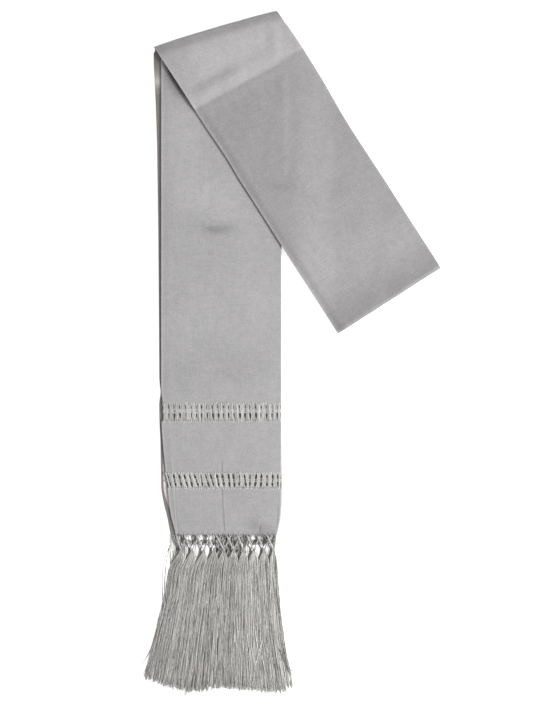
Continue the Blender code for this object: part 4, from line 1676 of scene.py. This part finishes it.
    def thread_shades(self, lock: np.ndarray, locks: int, share: np.ndarray) -> np.ndarray:
        """Shades of a tassel's loose threads.

        Args:
            lock: each thread's lock.
            locks: how many locks there are.
            share: each thread's place across the fringe.

        Returns:
            A shade from 0 to 1 for each thread.
        """
        loose, count = self.loose, len(lock)
        lock_shade = self.draws.uniform(-loose.lock_shade, loose.lock_shade, locks)[lock]
        contrast = loose.contrast + loose.right_contrast * (share > loose.right_from)
        shade = self.shade + lock_shade + self.draws.normal(0.0, 1.0, count) * contrast
        dark = self.draws.random(count) < loose.dark_share
        return np.where(dark, loose.dark_factor * shade, shade).clip(0.02, 1.0)

    def thread_ends(self, lock: np.ndarray, locks: int, share: np.ndarray) -> np.ndarray:
        """Where a tassel's loose threads end.

        Args:
            lock: each thread's lock.
            locks: how many locks there are.
            share: each thread's place across the fringe.

        Returns:
            A distance below the hem for each thread.
        """
        loose, count = self.loose, len(lock)
        table = np.array(self.ends)
        lock_end = self.draws.normal(0.0, loose.lock_end, locks)[lock]
        end = np.interp(share, table[:, 0], table[:, 1]) + lock_end
        end = end - self.draws.exponential(loose.thread_end, count)
        short = self.draws.random(count) < loose.short_share
        return np.where(short, end - self.draws.uniform(*loose.shortened, count), end)

    def thread_sway(self, lock: np.ndarray, locks: int, down: np.ndarray) -> tuple[np.ndarray, np.ndarray]:
        """Waves of a tassel's loose threads, with their locks and on their own.

        Args:
            lock: each thread's lock.
            locks: how many locks there are.
            down: distances below the hem, one row for each thread.

        Returns:
            How far the threads sway along X, and how far they ride up and down.
        """
        loose, count = self.loose, len(lock)
        wave = self.draws.uniform(*loose.lock_sway, locks)[lock][:, None]
        length = self.draws.uniform(*loose.lock_wave, locks)[lock][:, None]
        phase = self.draws.uniform(0.0, math.tau, locks)[lock][:, None]
        own = self.draws.uniform(*loose.thread_sway, count)[:, None]
        own_phase = self.draws.uniform(0.0, math.tau, count)[:, None]
        own_length = self.draws.uniform(*loose.thread_wave, count)[:, None]
        sway = wave * np.sin(math.tau * down / length + phase)
        sway = sway + own * np.sin(math.tau * down / own_length + own_phase)
        return sway, loose.ride * np.sin(math.tau * down / own_length * 0.7 + 2 * own_phase)

    def tassel_threads(self, skein: Skein) -> None:
        """The loose threads below each knot, in small locks of their own.

        Args:
            skein: the threads made so far.
        """
        loose, count = self.loose, self.threads_per_knot
        steps = np.linspace(0.0, 1.0, 24) ** 1.2
        start = self.knot_down + self.knot_length - 1.6
        for index, (knot, head) in enumerate(zip(self.knots, self.heads)):
            locks = self.draws.integers(*loose.locks)
            lock = self.draws.integers(0, locks, count)
            centre = (np.arange(locks) + self.draws.uniform(0.1, 0.9, locks)) / locks
            spot = centre[lock] + self.draws.normal(0.0, loose.thread_place, count)
            low, high = self.limits[index : index + 2]
            share = np.clip(low + (high - low) * spot, -0.004, 1.004)
            shade = self.thread_shades(lock, locks, share)
            end = self.thread_ends(lock, locks, share)
            down = start + (end[:, None] - start) * steps
            left, right = self.sides_at(down)
            fanned = self.neck + (head - self.neck) * eased((down - start) / self.fan)
            opened = eased((down - start) / self.opening)
            root = knot + fanned * np.clip((spot[:, None] - 0.5) * 2.1, -1.0, 1.0)
            even = left + (right - left) * share[:, None]
            sway, ride = self.thread_sway(lock, locks, down)
            leaves = self.draws.random(count) < loose.astray_share
            astray = np.where(leaves, self.draws.normal(0.0, loose.astray, count), 0.0)[:, None]
            x = root + (even - root + sway) * opened + astray * steps[None, :] ** 2
            sag = self.edge_sag * (1.0 - eased(share / 0.07))
            level = self.draws.uniform(*self.planes, count)[:, None] - sag[:, None]
            knot_level = self.knot_height + self.draws.uniform(-0.6, 0.6, count)[:, None]
            z = knot_level + (level + ride - knot_level) * eased((down - start) / 14.0)
            paths = np.stack([x, HEM_Y - down, z], axis=-1)
            taper = self.radius * (1.0 - 0.3 * steps[None, :] ** 6)
            skein.add(paths, taper * self.draws.uniform(*loose.thickness, (count, 1)), shade)

    def stray_threads(self, skein: Skein) -> None:
        """Single threads that left the others, at listed points, each after its shade.

        Args:
            skein: the threads made so far.
        """
        for shade, *points in self.strays:
            plan = refined(np.array(points), 5)
            share = np.linspace(0.0, 1.0, len(plan))
            height = self.planes[1] + 0.25 - (self.planes[1] - 1.2) * eased((share - 0.1) / 0.9) * 0.6
            skein.add_one(np.column_stack([plan, height]), self.stray_radius, shade)

    def knot_turns(self, skein: Skein) -> None:
        """Turns of thread round each knot.

        Args:
            skein: the knots made so far.
        """
        angle = np.linspace(0.0, math.tau * 3.5, 43)
        share = angle / angle[-1]
        belly = np.sin(math.pi * (0.12 + 0.76 * share))
        for knot in self.knots:
            x = knot + self.knot_reach * belly * np.cos(angle)
            y = self.knot_y + 0.2 - (self.knot_length - 0.6) * share
            z = self.knot_height + self.knot_rise * belly * np.sin(angle)
            path = np.stack([x, y, z], axis=-1)
            skein.add_one(path, self.knot_turns_radius, self.draws.uniform(*self.knot_shades))


def front_fringe() -> Fringe:
    """The fringe of the upper half of the stole.

    Returns:
        The fringe, not yet built.
    """
    return Fringe(
        name="front",
        node="front_fringe",
        finish=Finish.FRONT,
        strip=(-45.2, 55.0),
        strip_height=3.3,
        knot_height=3.65,
        planes=(2.75, 4.1),
        spread=(
            (14.0, -117.0, -14.5),
            (37.0, -122.0, -13.4),
            (60.0, -126.2, -12.0),
            (105.0, -137.0, -7.0),
            (158.0, -151.0, 3.6),
        ),
        seed=71,
        shifts=(0.0, 1.2, 2.6, 3.0, 2.6, 2.4, 2.4, 2.4, 2.8, 2.2),
        heads=(3.6, 3.9, 3.6, 4.1, 3.9, 4.2, 3.8, 4.0, 3.6, 2.8),
        strays=(
            (0.0, (-121.5, -196.0), (-124.8, -212.9), (-126.3, -235.5), (-124.0, -254.5)),
            (0.0, (-121.0, -193.5), (-126.5, -208.5), (-128.5, -225.5), (-128.5, -240.5), (-127.5, -258.5)),
            (0.0, (-134.0, -277.0), (-138.3, -292.5), (-143.5, -303.5), (-149.0, -312.3)),
            (0.9, (-36.0, -278.5), (-33.0, -296.5), (-29.0, -312.5), (-32.0, -328.5)),
            (0.9, (-29.0, -288.5), (-33.0, -303.5), (-36.5, -320.5), (-34.0, -334.5)),
            (0.1, (-12.0, -296.5), (-3.0, -315.5), (6.0, -320.5)),
            (0.1, (-9.0, -304.5), (0.0, -320.5), (4.5, -327.5)),
        ),
        edge_sag=1.7,
    )


def back_fringe() -> Fringe:
    """The fringe of the lower half of the stole.

    Returns:
        The fringe, not yet built.
    """
    return Fringe(
        name="back",
        node="back_fringe",
        finish=Finish.BACK,
        strip=(-50.2, 52.2),
        strip_height=1.2,
        knot_height=1.3,
        planes=(0.4, 2.1),
        spread=(
            (14.0, -118.5, -17.0),
            (37.0, -122.5, -16.0),
            (60.0, -126.5, -15.0),
            (105.0, -137.5, -11.5),
            (158.0, -151.5, -4.0),
        ),
        seed=72,
        shifts=(1.5, 2.9, 3.4, 3.7, 2.0, 1.0, 1.5, 2.4, 3.2, 2.4),
        heads=(4.5, 2.5, 2.2, 2.4, 4.2, 4.6, 4.2, 2.2, 2.2, 2.4),
        # Rows with shade 0.05 are dark threads that paint the shade in the net's hollows; the lighter rows
        # cross and fill its slits
        veil=(
            (-121.2, -113.0, 0.0, 34.0, 0.8),
            (-103.1, -102.0, 0.0, 6.0, 0.5),
            (-91.8, -90.7, 0.0, 6.0, 0.5),
            (-80.6, -79.5, 0.0, 6.0, 0.5),
            (-105.6, -104.8, 8.0, 24.0, 0.6),
            (-96.0, -95.1, 8.0, 24.0, 0.6),
            (-86.3, -85.4, 8.0, 24.0, 0.6),
            (-44.2, -43.4, 8.0, 20.0, 0.6),
            (-35.0, -34.2, 8.0, 24.0, 0.6),
            (-24.0, -23.2, 8.0, 22.0, 0.6),
            (-115.0, -106.5, 0.0, 20.0, 0.05),
            (-106.5, -76.0, 5.5, 10.5, 0.35),
            (-99.0, -95.6, 0.0, 9.5, 0.05),
            (-87.8, -84.3, 0.0, 9.5, 0.05),
            (-76.0, -45.0, 0.0, 20.0, 0.05),
            (-45.0, -39.8, 0.0, 9.5, 0.05),
            (-45.0, -20.0, 5.5, 10.5, 0.35),
            (-35.8, -21.5, 0.0, 9.5, 0.05),
            (-20.0, -15.2, 0.0, 15.0, 0.5),
        ),
        # Darker legs and knots than the front's: painted shade, as the back net lies under the front one
        over_shades=(0.3, 0.65),
        below_shades=(0.2, 0.5),
        knot_shades=(0.1, 0.4),
        shade=0.53,
        threads_per_knot=80,
    )


@dataclass(frozen=True)
class SoftBox:
    """A rectangular soft light that faces a point of the floor."""

    name: str
    place: tuple[float, float, float]
    size: tuple[float, float]
    power: float
    colour: Colour = (1.0, 1.0, 1.0)


@dataclass
class Studio:
    """Floor, lights, world and camera."""

    floor_size: float = 26000.0
    lens: float = 85.0
    sensor: float = 36.0
    world: float = 0.62
    lights: tuple[SoftBox, ...] = (
        SoftBox("key_light", (1500.0, -420.0, 1150.0), (600.0, 600.0), 60.0, (1.0, 0.995, 0.985)),
    )

    def build(self) -> None:
        """Set up everything round the stole."""
        self.floor()
        self.sky()
        for light in self.lights:
            self.light(light)
        self.camera()

    def floor(self) -> None:
        """Plain pale floor at height 0."""
        half = self.floor_size / 2
        corners = np.array([(-half, -half, 0.0), (half, -half, 0.0), (half, half, 0.0), (-half, half, 0.0)])
        floor = made_object("floor", corners, [(0, 1, 2, 3)], {})
        floor.data.materials.append(Finish.FLOOR.value.material())

    def sky(self) -> None:
        """Even soft light from all round."""
        world = bpy.data.worlds.new("soft_room")
        world.use_nodes = True
        back = world.node_tree.nodes["Background"]
        back.inputs["Color"].default_value = (1.0, 1.0, 1.0, 1.0)
        back.inputs["Strength"].default_value = self.world
        bpy.context.scene.world = world

    def light(self, box: SoftBox) -> None:
        """One soft light, turned to the middle of the view.

        Args:
            box: the light.
        """
        data = bpy.data.lights.new(box.name, "AREA")
        data.shape = "RECTANGLE"
        data.size, data.size_y = (size * MM for size in box.size)
        data.energy = box.power
        data.color = box.colour
        made = bpy.data.objects.new(box.name, data)
        bpy.context.scene.collection.objects.link(made)
        made.location = Vector(box.place) * MM
        target = Vector((VIEW_MIDDLE[0], VIEW_MIDDLE[1], 0.0)) * MM
        made.rotation_euler = (target - made.location).to_track_quat("-Z", "Y").to_euler()

    def camera(self) -> None:
        """Camera straight above, framed as the photograph: one pixel to a millimetre on the floor."""
        data = bpy.data.cameras.new("camera")
        data.lens = self.lens
        data.sensor_width = self.sensor
        data.sensor_fit = "VERTICAL"
        data.sensor_height = self.sensor
        made = bpy.data.objects.new("camera", data)
        bpy.context.scene.collection.objects.link(made)
        height = FRAME_HEIGHT * MM * self.lens / self.sensor
        made.location = (VIEW_MIDDLE[0] * MM, VIEW_MIDDLE[1] * MM, height)
        made.rotation_euler = (0.0, 0.0, 0.0)
        bpy.context.scene.camera = made
        bpy.context.scene.view_settings.view_transform = "Standard"


def main() -> None:
    """Build and dress the stole, and set up the studio."""
    logging.basicConfig(level=logging.INFO, format="%(message)s")
    under = UnderCloth().build()
    straight = StraightCloth().build()
    openwork = Openwork().build()
    turned = TurnedCloth().build()
    front = front_fringe().build()
    back = back_fringe().build()
    Studio().build()


if __name__ == "__main__":
    main()
